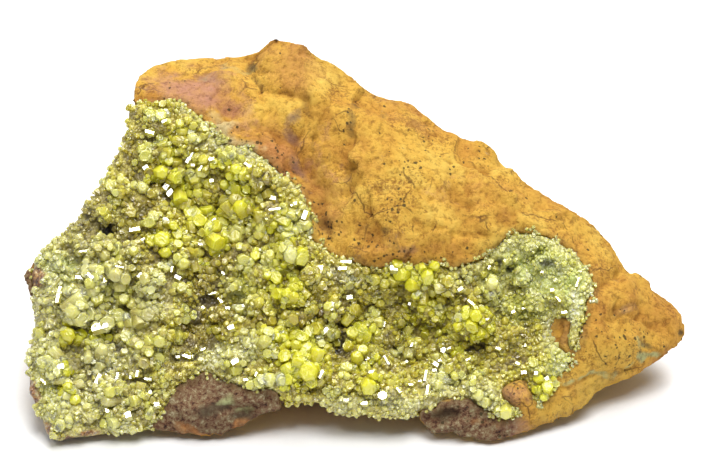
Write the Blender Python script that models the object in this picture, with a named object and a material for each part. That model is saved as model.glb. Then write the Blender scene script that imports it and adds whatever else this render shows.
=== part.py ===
"""A crust of six-sided pyromorphite crystals on a broken piece of ochre limonite rock.

The stone is drawn as it faces a viewer: across, up and out towards the viewer, in millimetres. It is
then leaned back and set down on its feet. The row frame is in metres, +Z up, +X along the stone,
with the origin at the middle of the bounding box's bottom.
"""

import math
import random

import bmesh
import bpy
import numpy as np
from mathutils import Vector, noise
from mathutils.geometry import delaunay_2d_cdt

MM = 0.001

# How the stone lies: it leans back by LEAN, and its feet touch the floor FLOOR_DROP below the middle
# of the drawing. Its forms were measured by eye from EYE_DISTANCE, so what lies nearer looks larger.
LEAN = math.radians(30)
EYE_DISTANCE = 450.0
FLOOR_DROP = 26.6

# The crust, and the fit between it and the rock under it.
CRUST_THICKNESS = 2.4
FIT_GAP = 0.35
OPEN_RIM_CUT = 2.5
OPEN_RIM_REACH = 1.3
RIM_MARGIN = 0.6
CUTTER_HEIGHT = 14.4
MOUND_HEIGHT = 0.9
MOUND_SPACING = 6.5
MOUND_FADE = 2.5
MOUND_LEAST = 0.15

# Crystals modelled as solids: width across the flats, and height as a share of the width.
CRYSTAL_WIDTHS = (1.7, 3.0)
CRYSTAL_HEIGHTS = (0.45, 0.95)
CRYSTAL_LEAN = math.radians(24)
CRYSTAL_TAPER = 0.93
CRYSTAL_TRIES = 6000
CRYSTAL_CLEARANCE = 0.35
CRYSTAL_RIM_MARGIN = 0.5
CRYSTAL_FOOT_MARGIN = 0.6
CRYSTAL_FOOT_LEVELLING = 0.4
CRYSTAL_FACES_VIEWER = 0.6
SLOPE_STEP = 1.5

# Mesh spacing, and the roughness of the broken rock.
FRONT_SPACING = 2.7
BACK_SPACING = 4.2
CRUST_SPACING = 2.6
BED_SPACING = 4.5
LEAST_MARGIN = 0.55
THINNEST = 4.0
THINNEST_RIM = 1.2
SIDE_RINGS = 4
SIDE_INSET = 2.6
SIDE_RING_STEP = 0.25
SIDE_ROUNDING = 1.5
SIDE_LUMP_SPACING = 10.2
SIDE_ROUGHNESS = 0.84
LEDGE_HEIGHT = 0.7
LEDGE_SPACING = 6.0
LEDGE_FADE = 4.0
BACK_ROUGHNESS = 2.4
BACK_LUMP_SPACING = 17.0
BACK_FADE = 5.0
SOFTEN_RADIUS = 1.6
SLIVER_AREA = 1e-4
SEED = 31

# The stone's outline as it faces the viewer: across, up, and how far out its rim stands.
OUTLINE = [
    # the peak and the broken upper edge down to the right tip
    (-13.2, 33.2, -14), (-10.7, 32.5, -13.5), (-7, 30.7, -13), (-3, 28.5, -12.5), (1, 25.2, -13),
    (3.7, 23.5, -13.5), (6.3, 22.7, -14), (9.3, 22.3, -14), (11.7, 20.5, -12), (15.2, 17.5, -11),
    (20.7, 15.3, -13), (23.5, 13.5, -12), (26, 10.7, -10), (28, 9.2, -9), (31, 7, -9),
    (34.5, 5.3, -9), (38.3, 3.3, -9), (41, 1, -9), (42.7, -1.2, -8), (44, -3, -8), (45, -5.2, -7.5),
    (46.8, -6.7, -8), (49.5, -8.7, -8), (53, -11, -8), (54.8, -13, -7.5), (55.7, -15.3, -7),
    # the lower right edge and the right front foot
    (55.2, -17.3, -6), (53, -19.5, -4), (49.7, -21.7, -2.5), (46.3, -23.8, -1), (43, -25, 0),
    (40.7, -26.2, 1), (39.3, -28.2, 2), (36.3, -30.3, 3), (33, -31.2, 4), (30.3, -32.3, 5),
    (27, -33.7, 6), (24, -34.3, 7), (21, -34.3, 7), (18.5, -33.8, 7), (16.3, -33, 6.5), (13.3, -33.5, 6.5),
    # the arch between the two front feet
    (11.8, -32.2, 6.5), (10.2, -30.5, 7), (7.7, -30.3, 7.5), (3.8, -30.3, 8), (-0.7, -29.7, 8),
    (-3.5, -29.2, 8), (-7, -28, 8), (-10.7, -28.2, 8), (-13.2, -29.2, 7.5), (-16.8, -31, 7),
    # the left front foot
    (-19.5, -32.2, 6.5), (-21.7, -33.5, 6), (-24.8, -33.8, 6), (-27.3, -33.5, 6), (-30.3, -32.8, 6),
    (-33.3, -32.5, 6.5), (-36, -33, 7), (-38.3, -34, 7), (-41.3, -34.7, 8.5), (-45.2, -35.2, 9.5),
    (-49, -34.8, 9.5), (-51.3, -33.7, 9),
    # the left side up to its shoulder, which closes on the peak
    (-52, -32, 8), (-53.5, -29.7, 6), (-54.3, -26.7, 4), (-54, -22.7, 3), (-54.2, -19, 2),
    (-53.5, -16.7, 1.5), (-53.7, -12.3, 0.5), (-54.5, -8.3, -1.5), (-55.5, -6.3, -3), (-54.5, -4.7, -3),
    (-52, -2.7, -3), (-49.8, -1, -3), (-47.3, 1.3, -3), (-45.3, 3.3, -3.5), (-43.7, 5.8, -4),
    (-42.3, 7.7, -4), (-40.7, 10.2, -4.5), (-40, 12.7, -4.5), (-38.7, 14.3, -5), (-37.3, 16.3, -5),
    (-37.3, 21.8, -6), (-36.7, 25.3, -10), (-35.7, 27.3, -13), (-32, 29.3, -16), (-28.3, 29.8, -17),
    (-23, 29.8, -17), (-19, 30.3, -17), (-16.5, 30.7, -16), (-15.2, 31.5, -15), (-14.3, 32.7, -14.5),
]

# Ridges, hollows and mounds of the face that the viewer sees, by area.
LEFT_OCHRE_FACET = [(-30, 25, -9), (-20, 24, -8.5), (-33, 22.5, -6.5), (-24, 19.5, -3.5), (-15.5, 17.5, -2.5)]
NOTCH_AND_PEAK = [(-16.5, 26.5, -13), (-12.5, 27.5, -8.5), (-14.5, 22, -7.5), (-6, 21, -3.5), (-9, 15, -4)]
GULLY = [(-4.5, 17, -6), (-4.5, 10, -3.5), (-1.5, 3, -0.5), (-5, -2, 1.5)]
MIDDLE_RIDGE = [(-8, 6, 0.5), (0.5, 18, -1.5), (2, 10, 1.5), (4.5, 19.5, -7), (7, 15, -3)]
BIG_OCHRE_FACET = [(3, 3, 4.2), (4, -3.5, 4.5), (10, 8, 1.5), (12, -2, 5), (17, -5, 4), (10, 17, -6)]
RIGHT_OCHRE_FOLDS = [(15.5, 11, -3.5), (19, 7, 0.8), (22, 12, -6), (24, 3, 2), (26, 7, -3), (32, 2, 0)]
RIGHT_SHOULDER = [(40, -6, 0.5), (39.5, -12.5, 4.5), (46, -12.5, 0.5), (50, -15.5, -1), (44, -19, 3.5)]
LOWER_RIGHT_ROCK = [(37, -20, 5), (35, -24.5, 5.5), (26.5, -25.7, 8.5), (31, -29, 7), (16, -29.8, 9)]
LOWER_LEFT_ROCK = [(-25.7, -29, 9), (-19, -27.3, 9), (-14, -27, 9), (-30, -31, 8), (-43, -34, 8.5)]
UPPER_CRUST_LOBE = [(-35, 18, -4), (-29, 15, -4), (-28, 8, -6.5), (-21, 12.5, -2), (-13, 7, -0.5),
                    (-21, 4, -4.5), (-30, 2, -1.5), (-37.5, 6, -3), (-44, 0, -2)]
LEFT_CRUST_LOBE = [(-50, -6, 0), (-42, -8, 0.5), (-48, -16, 2.5), (-50, -26, 5), (-40, -19, 2.5),
                   (-38.5, -13, -1), (-42, -27, 5.5), (-38, -31, 7), (-46, -32, 7.5)]
HUMP_AND_TROUGH = [(-33.5, -11, 5.5), (-31.5, -18, 6.5), (-35, -23, 5.5), (-34, -5.5, 2), (-26.5, -16, -0.5),
                   (-25.5, -21, 1), (-21, -11, 0), (-27, -6, -1.5), (-30, -26, 6.5)]
MIDDLE_CRUST = [(-19, -18, 2.5), (-15, -23, 7.5), (-9, -22.5, 7.5), (-12, -14, 4), (-8, -25.5, 8.5),
                (-13, -4, 1.5), (-6, -9, 2.5), (-3, -17, 1), (0, -22, 5), (5, -27, 8)]
RIGHT_BOWL = [(2, -10, 1), (8, -13.5, -2.5), (12, -17, -3), (15, -22, 1.5), (20, -26, 6), (12, -26, 7),
              (14, -8, 0.5), (20, -13, 2), (25, -8, -1.5), (28, -2.5, -1), (30, -15, -0.5),
              (33, -9, 0), (36.5, -7, 2), (24, -20, 1), (28, -22, 3.5), (33, -20, 4.5)]
FACE = (
    LEFT_OCHRE_FACET + NOTCH_AND_PEAK + GULLY + MIDDLE_RIDGE + BIG_OCHRE_FACET + RIGHT_OCHRE_FOLDS
    + RIGHT_SHOULDER + LOWER_RIGHT_ROCK + LOWER_LEFT_ROCK + UPPER_CRUST_LOBE + LEFT_CRUST_LOBE
    + HUMP_AND_TROUGH + MIDDLE_CRUST + RIGHT_BOWL
)

# Broken planes that bound the hidden back. Each is how far out it stands at the middle of the
# drawing, and how much it rises for each millimetre across and up.
BACK_PLANES = [
    (-33, 0.06, 0.10),
    (-41, 0.22, 0.72),
    (-78, -1.15, -0.2),
    (-61, 0.85, -0.45),
    (-46, 0.62, 0.55),
    (-47, -0.45, 0.55),
]

# The underside stands UNDERSIDE_CLEAR off the floor except at the feet: across, back from the
# drawing's middle, and reach. What comes within FOOT_FLAT of the floor is worn flat.
UNDERSIDE_CLEAR = 2.4
FEET = [(-38, -25, 13), (22, -23.5, 11), (-14, 15, 13), (14, 14, 9)]
FOOT_DEPTH = 3.4
FOOT_FLAT = 0.6

# The crust's edge. Against the ochre rock it runs from the left shoulder to the right end ...
CRUST_UPPER_EDGE = [
    (-37.2, 21.3), (-34.8, 21.8), (-32, 22), (-29.3, 22), (-27.4, 20.6), (-25.6, 19.3), (-24.2, 17.6),
    (-22.9, 15.2), (-20.3, 14.5), (-18, 14.4), (-16.4, 13.4), (-14.1, 11.7), (-12.3, 9.8), (-10.2, 8.5),
    (-8.5, 5.8), (-7.5, 3.5), (-7.3, 1.2), (-8, -0.3), (-5.8, -1.9), (-3.2, -3.8), (-0.6, -4.6),
    (2, -5.4), (4.2, -5.8), (6.5, -5), (9.4, -5.5), (12, -4.9), (14.3, -5.2), (16.2, -6), (19.2, -4.8),
    (22, -4), (23.7, -2.5), (25, -1), (26.7, 0.1), (29.2, 0.1), (31.4, -0.3), (33.4, -1.2), (35.8, -2.8),
    (37.6, -4.6), (38.9, -6.4), (39.6, -8), (39.3, -9.5), (38.3, -11), (38.2, -13.6), (37.5, -15.8),
    (37.1, -17.6), (36.2, -18.8),
]
# ... round a block of bare rock in its right end, round a second one at the bottom ...
ROCK_BLOCK_EDGE = [(35.9, -18.2), (36.3, -15.8), (36.6, -13.4), (33.4, -13.2), (32.2, -15.6), (33, -18.3), (34.6, -19.4)]
CRUST_LOWER_RIGHT_EDGE = [
    (35.8, -20.4), (35, -22.2), (33.6, -23.1), (32.9, -25), (32.2, -26.6), (30.6, -27), (29.5, -25.5),
    (29, -23.9), (27.3, -23.6), (25.3, -24.4), (24.2, -25.6), (24.5, -27.2), (25.4, -28.1), (26.8, -28.9),
    (26.4, -30.1), (24.8, -30.4), (23.3, -29.1), (20.9, -28), (19.2, -26.7), (16.5, -26.7), (14, -27.2),
]
# ... along the open front edge over the arch, over the brown rock of the left foot ...
CRUST_FRONT_EDGE = [
    (13.4, -28.5), (11, -28.5), (9.8, -29.5), (7, -30), (4.2, -29.9), (1.4, -29.2), (-0.8, -29.2),
    (-3, -28.5), (-4.7, -27.7), (-6.8, -27.2), (-9.3, -27.3), (-11, -27.6), (-12.2, -26), (-14, -25.1),
    (-17.7, -25), (-20.2, -24.2), (-22.3, -23.3), (-24.7, -22.2), (-26.2, -22.8), (-28.7, -23.9),
    (-30.3, -25.3), (-31.4, -27.8), (-33, -29.7), (-34.2, -31), (-36.1, -31.8), (-38, -32.2),
    (-41.3, -32.5), (-44, -33), (-47.2, -33.2), (-49.5, -33.9),
]
# ... and up the open left side.
CRUST_LEFT_EDGE = [
    (-51, -32.7), (-51.6, -30), (-52.6, -27.8), (-53.6, -25.5), (-53.7, -22.5), (-53.6, -19), (-52.9, -16.5),
    (-52.6, -12.5), (-52.9, -9.5), (-53.4, -6.8), (-52.8, -5), (-51.4, -3), (-49.6, -1.2), (-47.2, 1.1),
    (-45.1, 3.1), (-43.5, 5.6), (-42.1, 7.5), (-40.5, 10), (-39.7, 12.5), (-38.5, 14.4), (-37.2, 16.5),
]
CRUST_EDGE = CRUST_UPPER_EDGE + ROCK_BLOCK_EDGE + CRUST_LOWER_RIGHT_EDGE + CRUST_FRONT_EDGE + CRUST_LEFT_EDGE

# The largest crystals, which give the crust its look from a step away: across, up, width.
LARGE_CRYSTALS = [
    # upper lobe
    (-30.3, 11, 3.2), (-27.4, 7.6, 3.4), (-33.7, 2.6, 2.6), (-30.6, -0.2, 3.3), (-23.3, -0.6, 3.5),
    (-25.2, 3, 2.8), (-21.2, 13.4, 2.8), (-19.6, 10.4, 2.9), (-18.9, 4, 3.1), (-13.2, 4.2, 3.4),
    (-15.6, 5.8, 2.6), (-18.6, -3.5, 3.4), (-10.6, -3, 3.7), (-11.6, -0.6, 2.6), (-16.8, -3.9, 2.4),
    (-28.4, -4.4, 2.6), (-37, -2.8, 2.7), (-39.8, -2.6, 2.4), (-9, 2, 2.5),
    # left lobe and hump
    (-43.2, -7.6, 3), (-43.1, -10.6, 3.3), (-46.6, -12.9, 3.1), (-48, -17.6, 2.9), (-38.4, -16.2, 3),
    (-49.4, -22.6, 2.9), (-48.5, -26.5, 3.4), (-41, -26, 2.8), (-36, -27.2, 3), (-34.2, -29.1, 2.7),
    (-40, -30.8, 2.6), (-30.8, -13.4, 2.6), (-33.4, -8.2, 2.9), (-34.6, -19.6, 2.7), (-31, -22.4, 2.6),
    # middle
    (-12.7, -7, 3.1), (-10.9, -9.5, 2.9), (-4.2, -12, 2.7), (-14.8, -17.9, 3.6), (-11.8, -15, 2.8),
    (-10.5, -17.8, 2.7), (-14.3, -23.7, 3.6), (-7.4, -22.9, 3.9), (-10.2, -23.8, 2.9), (-4.9, -25.5, 2.8),
    (0.6, -20.3, 3), (2, -16.4, 2.8), (2.3, -25, 3.1), (-5.2, -16.5, 2.5), (-20, -21.3, 3),
    # right bowl
    (5.8, -7.3, 2.8), (8.6, -6.4, 3.4), (12, -6.3, 3.1), (10, -8.2, 2.7), (19.9, -14.9, 4.1), (18.6, -12.6, 3),
    (15.8, -24.3, 2.8), (31.2, -25, 2.9), (25.2, -29, 2.4), (28, -6.5, 2.6), (22.4, -8.6, 2.5), (13, -12.3, 2.5),
]


def inside(points, ring):
    """Which of the 2D points lie inside the ring, by counting crossings."""
    points = np.asarray(points, float).reshape(-1, 2)
    x, y = points[:, :1], points[:, 1:]
    x0, y0 = ring.T
    x1, y1 = np.roll(ring, -1, axis=0).T
    rise = np.where(y1 == y0, 1, y1 - y0)
    crosses = ((y0 > y) != (y1 > y)) & (x < x0 + (y - y0) * (x1 - x0) / rise)
    return crosses.sum(axis=1) % 2 == 1


def distance_to_ring(points, ring):
    """Each 2D point's distance to the ring's nearest edge."""
    points = np.asarray(points, float).reshape(-1, 1, 2)
    along = np.roll(ring, -1, axis=0) - ring
    share = np.clip(((points - ring) * along).sum(axis=2) / (along**2).sum(axis=1), 0, 1)
    return np.linalg.norm(points - ring - share[..., None] * along, axis=2).min(axis=1)


def triangles_inside(points, loops, holes=()):
    """Delaunay triangles that keep every loop's edges, inside the first loop and outside the holes."""
    edges = [(loop[i - 1], loop[i]) for loop in loops for i in range(len(loop))]
    _, _, faces, sources, _, _ = delaunay_2d_cdt([Vector(p) for p in points], edges, [], 0, 1e-6)
    names = [source[0] for source in sources]
    faces = np.array([[names[i] for i in face] for face in faces])
    middles = np.asarray(points, float)[faces].mean(axis=1)
    first, second, third = np.asarray(points, float)[faces].transpose(1, 2, 0)
    areas = (second[0] - first[0]) * (third[1] - first[1]) - (third[0] - first[0]) * (second[1] - first[1])
    keep = inside(middles, np.asarray(points, float)[loops[0]]) & (np.abs(areas) > SLIVER_AREA)
    for hole in holes:
        keep &= ~inside(middles, np.asarray(points, float)[hole])
    return faces[keep].tolist()


def scattered(ring, spacing, margin, chance):
    """Points on a slightly shaken triangular grid, inside the ring and clear of its edge."""
    low, high = ring.min(axis=0), ring.max(axis=0)
    rows = np.arange(low[1], high[1], spacing * math.sqrt(0.75))
    grid = [
        (x + spacing / 2 * (k % 2) + spacing * chance.uniform(-0.22, 0.22), y + spacing * chance.uniform(-0.2, 0.2))
        for k, y in enumerate(rows)
        for x in np.arange(low[0], high[0], spacing)
    ]
    grid = np.array(grid)
    return grid[inside(grid, ring) & (distance_to_ring(grid, ring) > margin)]


def resampled(ring, spacing):
    """The closed ring with its long edges divided, so that none is much over the spacing."""
    made = []
    for a, b in zip(ring, np.roll(ring, -1, axis=0)):
        steps = max(1, round(np.linalg.norm((b - a)[:2]) / spacing))
        made += [a + (b - a) * k / steps for k in range(steps)]
    return np.array(made)


def shifted(ring, amounts):
    """The ring with each point moved outwards by its amount."""
    before, after = np.roll(ring, 1, axis=0), np.roll(ring, -1, axis=0)
    along = (after - before) / np.linalg.norm(after - before, axis=1)[:, None]
    outwards = np.stack([along[:, 1], -along[:, 0]], axis=1)
    area = np.sum(ring[:, 0] * after[:, 1] - after[:, 0] * ring[:, 1])
    return ring + math.copysign(1, area) * outwards * np.asarray(amounts)[:, None]


def rough(points, spacing, height, seed):
    """Smooth random relief, two octaves of it, at 3D points."""
    shift = Vector((seed * 7.1, seed * 3.7, seed * 5.3))
    return np.array(
        [
            height * (noise.noise(Vector(p) / spacing + shift) + 0.5 * noise.noise(Vector(p) * 2.1 / spacing - shift))
            for p in points
        ]
    )


class Face:
    """The front of the stone: flat facets between its landmarks, with their ridges a little softened."""

    def __init__(self):
        points = np.array(OUTLINE + FACE, float)
        loop = list(range(len(OUTLINE)))
        facets = points[triangles_inside(points[:, :2], [loop])]
        self.corner = facets[:, 0]
        self.sides = facets[:, 1:] - facets[:, :1]
        self.inverse = np.linalg.inv(self.sides[:, :, :2].transpose(0, 2, 1))

    def facet_height(self, points):
        """Each point's height on the facet that it lies over, or NaN outside the outline."""
        offsets = points[:, None, :] - self.corner[None, :, :2]
        shares = np.einsum("fij,pfj->pfi", self.inverse, offsets)
        depth = np.minimum(shares.min(axis=2), 1 - shares.sum(axis=2))
        facet = depth.argmax(axis=1)
        rows = np.arange(len(points))
        heights = self.corner[facet, 2] + (shares[rows, facet] * self.sides[facet, :, 2]).sum(axis=1)
        return np.where(depth[rows, facet] > -1e-6, heights, np.nan)

    def height(self, points):
        """How far out the face stands at each point: the mean over a small disc."""
        points = np.asarray(points, float).reshape(-1, 2)
        angles = np.arange(6) * math.pi / 3
        disc = np.vstack([[0, 0], SOFTEN_RADIUS * np.stack([np.cos(angles), np.sin(angles)], axis=1)])
        samples = np.array([self.facet_height(points + offset) for offset in disc])
        return np.nanmean(samples, axis=0)


def back_height(points):
    """How far out the hidden back of the stone stands: the nearest of its planes, or its underside."""
    across, up = points.T
    planes = np.max([level + a * across + b * up for level, a, b in BACK_PLANES], axis=0)
    back = up * math.sin(LEAN) - under_height(up, UNDERSIDE_CLEAR) * math.cos(LEAN)
    clear = np.full(len(points), UNDERSIDE_CLEAR)
    for x, y, reach in FEET:
        near = np.exp(-2 * ((across - x) ** 2 + (back - y) ** 2) / reach**2)
        clear = np.minimum(clear, UNDERSIDE_CLEAR - FOOT_DEPTH * near)
    return np.maximum(planes, under_height(up, clear))


def under_height(up, clear):
    """How far out the stone's underside stands, a clear distance above the floor."""
    return (clear - FLOOR_DROP - up * math.cos(LEAN)) / math.sin(LEAN)


def set_down(points):
    """Points of the drawing, in millimetres, where they stand on the floor, in metres."""
    across, up, out = np.asarray(points, float).T
    nearer = 1 - out / EYE_DISTANCE
    across, up = across * nearer, up * nearer
    back = up * math.sin(LEAN) - out * math.cos(LEAN)
    height = up * math.cos(LEAN) + out * math.sin(LEAN) + FLOOR_DROP
    return np.stack([across, back, height], axis=1) * MM


def mesh_object(name, points, faces, material=None):
    """A closed mesh with its faces turned outwards."""
    mesh = bpy.data.meshes.new(name)
    mesh.from_pydata([tuple(p) for p in points], [], [tuple(f) for f in faces])
    shape = bmesh.new()
    shape.from_mesh(mesh)
    bmesh.ops.recalc_face_normals(shape, faces=shape.faces)
    if shape.calc_volume(signed=True) < 0:
        bmesh.ops.reverse_faces(shape, faces=shape.faces)
    shape.to_mesh(mesh)
    shape.free()
    if material:
        mesh.materials.append(material)
    made = bpy.data.objects.new(name, mesh)
    bpy.context.scene.collection.objects.link(made)
    return made


def stone_material(name, colour, roughness):
    material = bpy.data.materials.new(name)
    material.use_nodes = True
    shader = material.node_tree.nodes["Principled BSDF"]
    shader.inputs["Base Color"].default_value = (*colour, 1)
    shader.inputs["Roughness"].default_value = roughness
    shader.inputs["Metallic"].default_value = 0
    return material


def rock_shape(face, chance):
    """The whole stone before the crust's bed is cut: a front sheet, side rings and a back sheet."""
    outline = resampled(np.array(OUTLINE, float), FRONT_SPACING)
    count = len(outline)
    rim = outline[:, :2]
    front = scattered(rim, FRONT_SPACING, FRONT_SPACING * LEAST_MARGIN, chance)
    front_points = np.column_stack([front, face.height(front)])
    ledges = rough(front_points, LEDGE_SPACING, LEDGE_HEIGHT, 1)
    front_points[:, 2] += ledges * np.clip(distance_to_ring(front, rim) / LEDGE_FADE, 0, 1)
    points = [outline, front_points]
    faces = triangles_inside(np.vstack([rim, front]), [list(range(count))])

    start = count + len(front)
    above = list(range(count))
    back_rim = rim
    for ring in range(1, SIDE_RINGS + 1):
        share = ring / SIDE_RINGS
        inset = -SIDE_INSET * share**SIDE_ROUNDING - SIDE_RING_STEP * ring
        back_rim = shifted(rim, np.full(count, inset))
        for _ in range(ring):
            back_rim = (np.roll(back_rim, 1, axis=0) + 2 * back_rim + np.roll(back_rim, -1, axis=0)) / 4
        drop = np.maximum(outline[:, 2] - back_height(back_rim), THINNEST_RIM)
        ring_points = np.column_stack([back_rim, outline[:, 2] - drop * share])
        bulge = rough(ring_points, SIDE_LUMP_SPACING, SIDE_ROUGHNESS, 2)
        ring_points[:, :2] = shifted(back_rim, np.minimum(bulge, 0))
        points.append(ring_points)
        below = list(range(start, start + count))
        for i in range(count):
            faces.append((above[i - 1], above[i], below[i], below[i - 1]))
        above, start = below, start + count

    back_rim = points[-1][:, :2]
    back = scattered(back_rim, BACK_SPACING, BACK_SPACING * LEAST_MARGIN, chance)
    back_points = np.column_stack([back, back_height(back)])
    inwards = np.clip(distance_to_ring(back, back_rim) / BACK_FADE, THINNEST_RIM / THINNEST, 1)
    back_points[:, 2] += rough(back_points, BACK_LUMP_SPACING, BACK_ROUGHNESS, 3) * inwards
    back_points[:, 2] = np.minimum(back_points[:, 2], face.height(back) - THINNEST * inwards)
    local = triangles_inside(np.vstack([back_rim, back]), [list(range(count))])
    names = above + list(range(start, start + len(back)))
    faces += [[names[i] for i in reversed(face)] for face in local]
    points.append(back_points)
    return np.vstack(points), faces


def crust_bed(face, edge, drop):
    """The underside of the crust, a drop below the stone's face: its edge's points come first."""
    inner = scattered(edge, BED_SPACING, BED_SPACING * LEAST_MARGIN, random.Random(SEED + 1))
    points = np.vstack([edge, inner])
    return np.column_stack([points, face.height(held_inside(points)) - drop])


def held_inside(points):
    """The points, with those on or past the stone's outline moved just inside it."""
    outline = np.array(OUTLINE, float)[:, :2]
    fine = resampled(outline, 1)
    rim = shifted(fine, np.full(len(fine), -RIM_MARGIN))
    nearest = np.array([rim[np.argmin(np.sum((rim - p) ** 2, axis=1))] for p in points])
    return np.where(inside(points, rim)[:, None], points, nearest)


def bed_cutter(face, edge):
    """What is cut from the rock: the crust's bed with the fit gap round it, run out over the open rim."""
    near_rim = distance_to_ring(edge, np.array(OUTLINE, float)[:, :2]) < OPEN_RIM_REACH
    bed = crust_bed(face, edge, CRUST_THICKNESS + FIT_GAP)
    apron = np.column_stack([shifted(edge, np.where(near_rim, OPEN_RIM_CUT, FIT_GAP)), bed[: len(edge), 2]])
    floor = np.vstack([apron, bed])
    lid = floor + np.array([0, 0, CUTTER_HEIGHT])
    count, total = len(edge), len(floor)
    faces = triangles_inside(floor[:, :2], [list(range(count)), list(range(count, 2 * count))])
    walls = [(i, (i + 1) % count, (i + 1) % count + total, i + total) for i in range(count)]
    lids = [[i + total for i in face] for face in faces]
    return np.vstack([floor, lid]), [tuple(reversed(f)) for f in faces] + lids + walls


def crystal_axis(face, place, lean, turn):
    """A crystal's direction: between the face's normal and the viewer, leaned to one side."""
    u, v = place
    step = SLOPE_STEP
    left, right, below, above = face.height([(u - step, v), (u + step, v), (u, v - step), (u, v + step)])
    normal = Vector((left - right, below - above, 2 * step)).normalized()
    normal = (normal + Vector((0, 0, CRYSTAL_FACES_VIEWER))).normalized()
    side = Vector((math.cos(turn), math.sin(turn), 0)) * math.tan(lean)
    return (normal + side).normalized()


def crystal_corners(face, place, width, height, chance):
    """The six corners of a crystal's foot and of its flat top."""
    axis = crystal_axis(face, place, CRYSTAL_LEAN * chance.random(), chance.uniform(0, 2 * math.pi))
    side = axis.orthogonal().normalized()
    other = axis.cross(side)
    radius = width / math.sqrt(3)
    start = chance.uniform(0, math.pi / 3)
    foot, top = [], []
    for k in range(6):
        angle = start + k * math.pi / 3
        out = radius * (math.cos(angle) * side + math.sin(angle) * other)
        slide = -out.z / axis.z
        foot.append((place[0] + out.x + slide * axis.x, place[1] + out.y + slide * axis.y))
        top.append(out * CRYSTAL_TAPER + axis * height * width)
    return np.array(foot), np.array(top)


def placed_crystals(face, edge, chance):
    """The large crystals, then smaller ones wherever they fit between them."""
    widths = [(u, v, width) for u, v, width in LARGE_CRYSTALS]
    low, high = edge.min(axis=0), edge.max(axis=0)
    for attempt in range(CRYSTAL_TRIES):
        share = 1 - attempt / CRYSTAL_TRIES
        width = CRYSTAL_WIDTHS[0] + (CRYSTAL_WIDTHS[1] - CRYSTAL_WIDTHS[0]) * share**2 * chance.random()
        widths.append((chance.uniform(low[0], high[0]), chance.uniform(low[1], high[1]), width))
    made, taken = [], []
    for u, v, width in widths:
        if not inside([(u, v)], edge)[0] or distance_to_ring([(u, v)], edge)[0] < width / 2 + CRYSTAL_RIM_MARGIN:
            continue
        if any(math.hypot(u - x, v - y) < width / 2 + other + CRYSTAL_CLEARANCE for x, y, other in taken):
            continue
        foot, top = crystal_corners(face, (u, v), width, chance.uniform(*CRYSTAL_HEIGHTS), chance)
        reach = max(np.linalg.norm(foot - (u, v), axis=1).max(), np.linalg.norm(top[:, :2], axis=1).max())
        if distance_to_ring([(u, v)], edge)[0] < reach + CRYSTAL_RIM_MARGIN:
            continue
        if any(math.hypot(u - x, v - y) < reach + other + CRYSTAL_CLEARANCE for x, y, other in taken):
            continue
        taken.append((u, v, reach))
        made.append(((u, v), foot, top))
    return made


def crust_shape(face, chance):
    """The crust: a mounded top with crystals standing on it, an edge wall and an underside."""
    edge = np.array(CRUST_EDGE, float)
    crystals = placed_crystals(face, edge, chance)
    inner = scattered(edge, CRUST_SPACING, CRUST_SPACING * LEAST_MARGIN, chance)
    for _, foot, _ in crystals:
        taken = inside(inner, foot) | (distance_to_ring(inner, foot) < CRYSTAL_FOOT_MARGIN)
        inner = inner[~taken]
    count = len(edge)
    sheet = np.vstack([edge, inner] + [foot for _, foot, _ in crystals])
    first = count + len(inner)
    feet = [list(range(first + 6 * k, first + 6 * k + 6)) for k in range(len(crystals))]
    out = face.height(held_inside(sheet))
    mounds = rough(np.column_stack([sheet, out]), MOUND_SPACING, MOUND_HEIGHT, 4)
    out += mounds * np.clip(distance_to_ring(sheet, edge) / MOUND_FADE, MOUND_LEAST, 1)
    for foot in feet:
        out[foot] -= (out[foot] - out[foot].mean()) * CRYSTAL_FOOT_LEVELLING
    points = [np.column_stack([sheet, out])]
    faces = triangles_inside(sheet, [list(range(count))] + feet, feet)

    start = len(sheet)
    for foot, (place, _, top) in zip(feet, crystals):
        base = out[foot].mean()
        points.append(top + np.array([place[0], place[1], base]))
        crown = list(range(start, start + 6))
        faces.append(crown)
        faces += [(foot[k - 1], foot[k], crown[k], crown[k - 1]) for k in range(6)]
        start += 6

    bed = crust_bed(face, edge, CRUST_THICKNESS)
    points.append(bed)
    local = triangles_inside(bed[:, :2], [list(range(count))])
    faces += [[i + start for i in reversed(face)] for face in local]
    faces += [(i, start + i, start + (i + 1) % count, (i + 1) % count) for i in range(count)]
    return np.vstack(points), faces


def worn_feet(points):
    """The stone's lowest points worn flat on the floor."""
    points = points.copy()
    points[points[:, 2] < FOOT_FLAT * MM, 2] = 0
    return points


def centred(objects):
    """Moves the meshes together, so that the origin is the middle of their box's bottom."""
    corners = np.array([v.co for made in objects for v in made.data.vertices])
    low, high = corners.min(axis=0), corners.max(axis=0)
    shift = -Vector(((low[0] + high[0]) / 2, (low[1] + high[1]) / 2, low[2]))
    for made in objects:
        for vertex in made.data.vertices:
            vertex.co += shift


def keep_largest_body(mesh):
    """Removes the chips that the cut leaves standing along the open rim."""
    shape = bmesh.new()
    shape.from_mesh(mesh)
    unseen, bodies = set(shape.verts), []
    while unseen:
        body, edge = set(), {next(iter(unseen))}
        while edge:
            body |= edge
            edge = {other.other_vert(v) for v in edge for other in v.link_edges} - body
        bodies.append(body)
        unseen -= body
    largest = max(bodies, key=len)
    bmesh.ops.delete(shape, geom=[v for v in shape.verts if v not in largest], context="VERTS")
    shape.to_mesh(mesh)
    shape.free()


def cut_bed(rock, cutter):
    """The crust's bed cut from the rock, and the cutter removed."""
    cut = rock.modifiers.new("crust bed", "BOOLEAN")
    cut.operation = "DIFFERENCE"
    cut.object = cutter
    graph = bpy.context.evaluated_depsgraph_get()
    mesh = bpy.data.meshes.new_from_object(rock.evaluated_get(graph), depsgraph=graph)
    rock.modifiers.clear()
    keep_largest_body(mesh)
    rock.data = mesh
    bpy.data.objects.remove(cutter)


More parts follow.
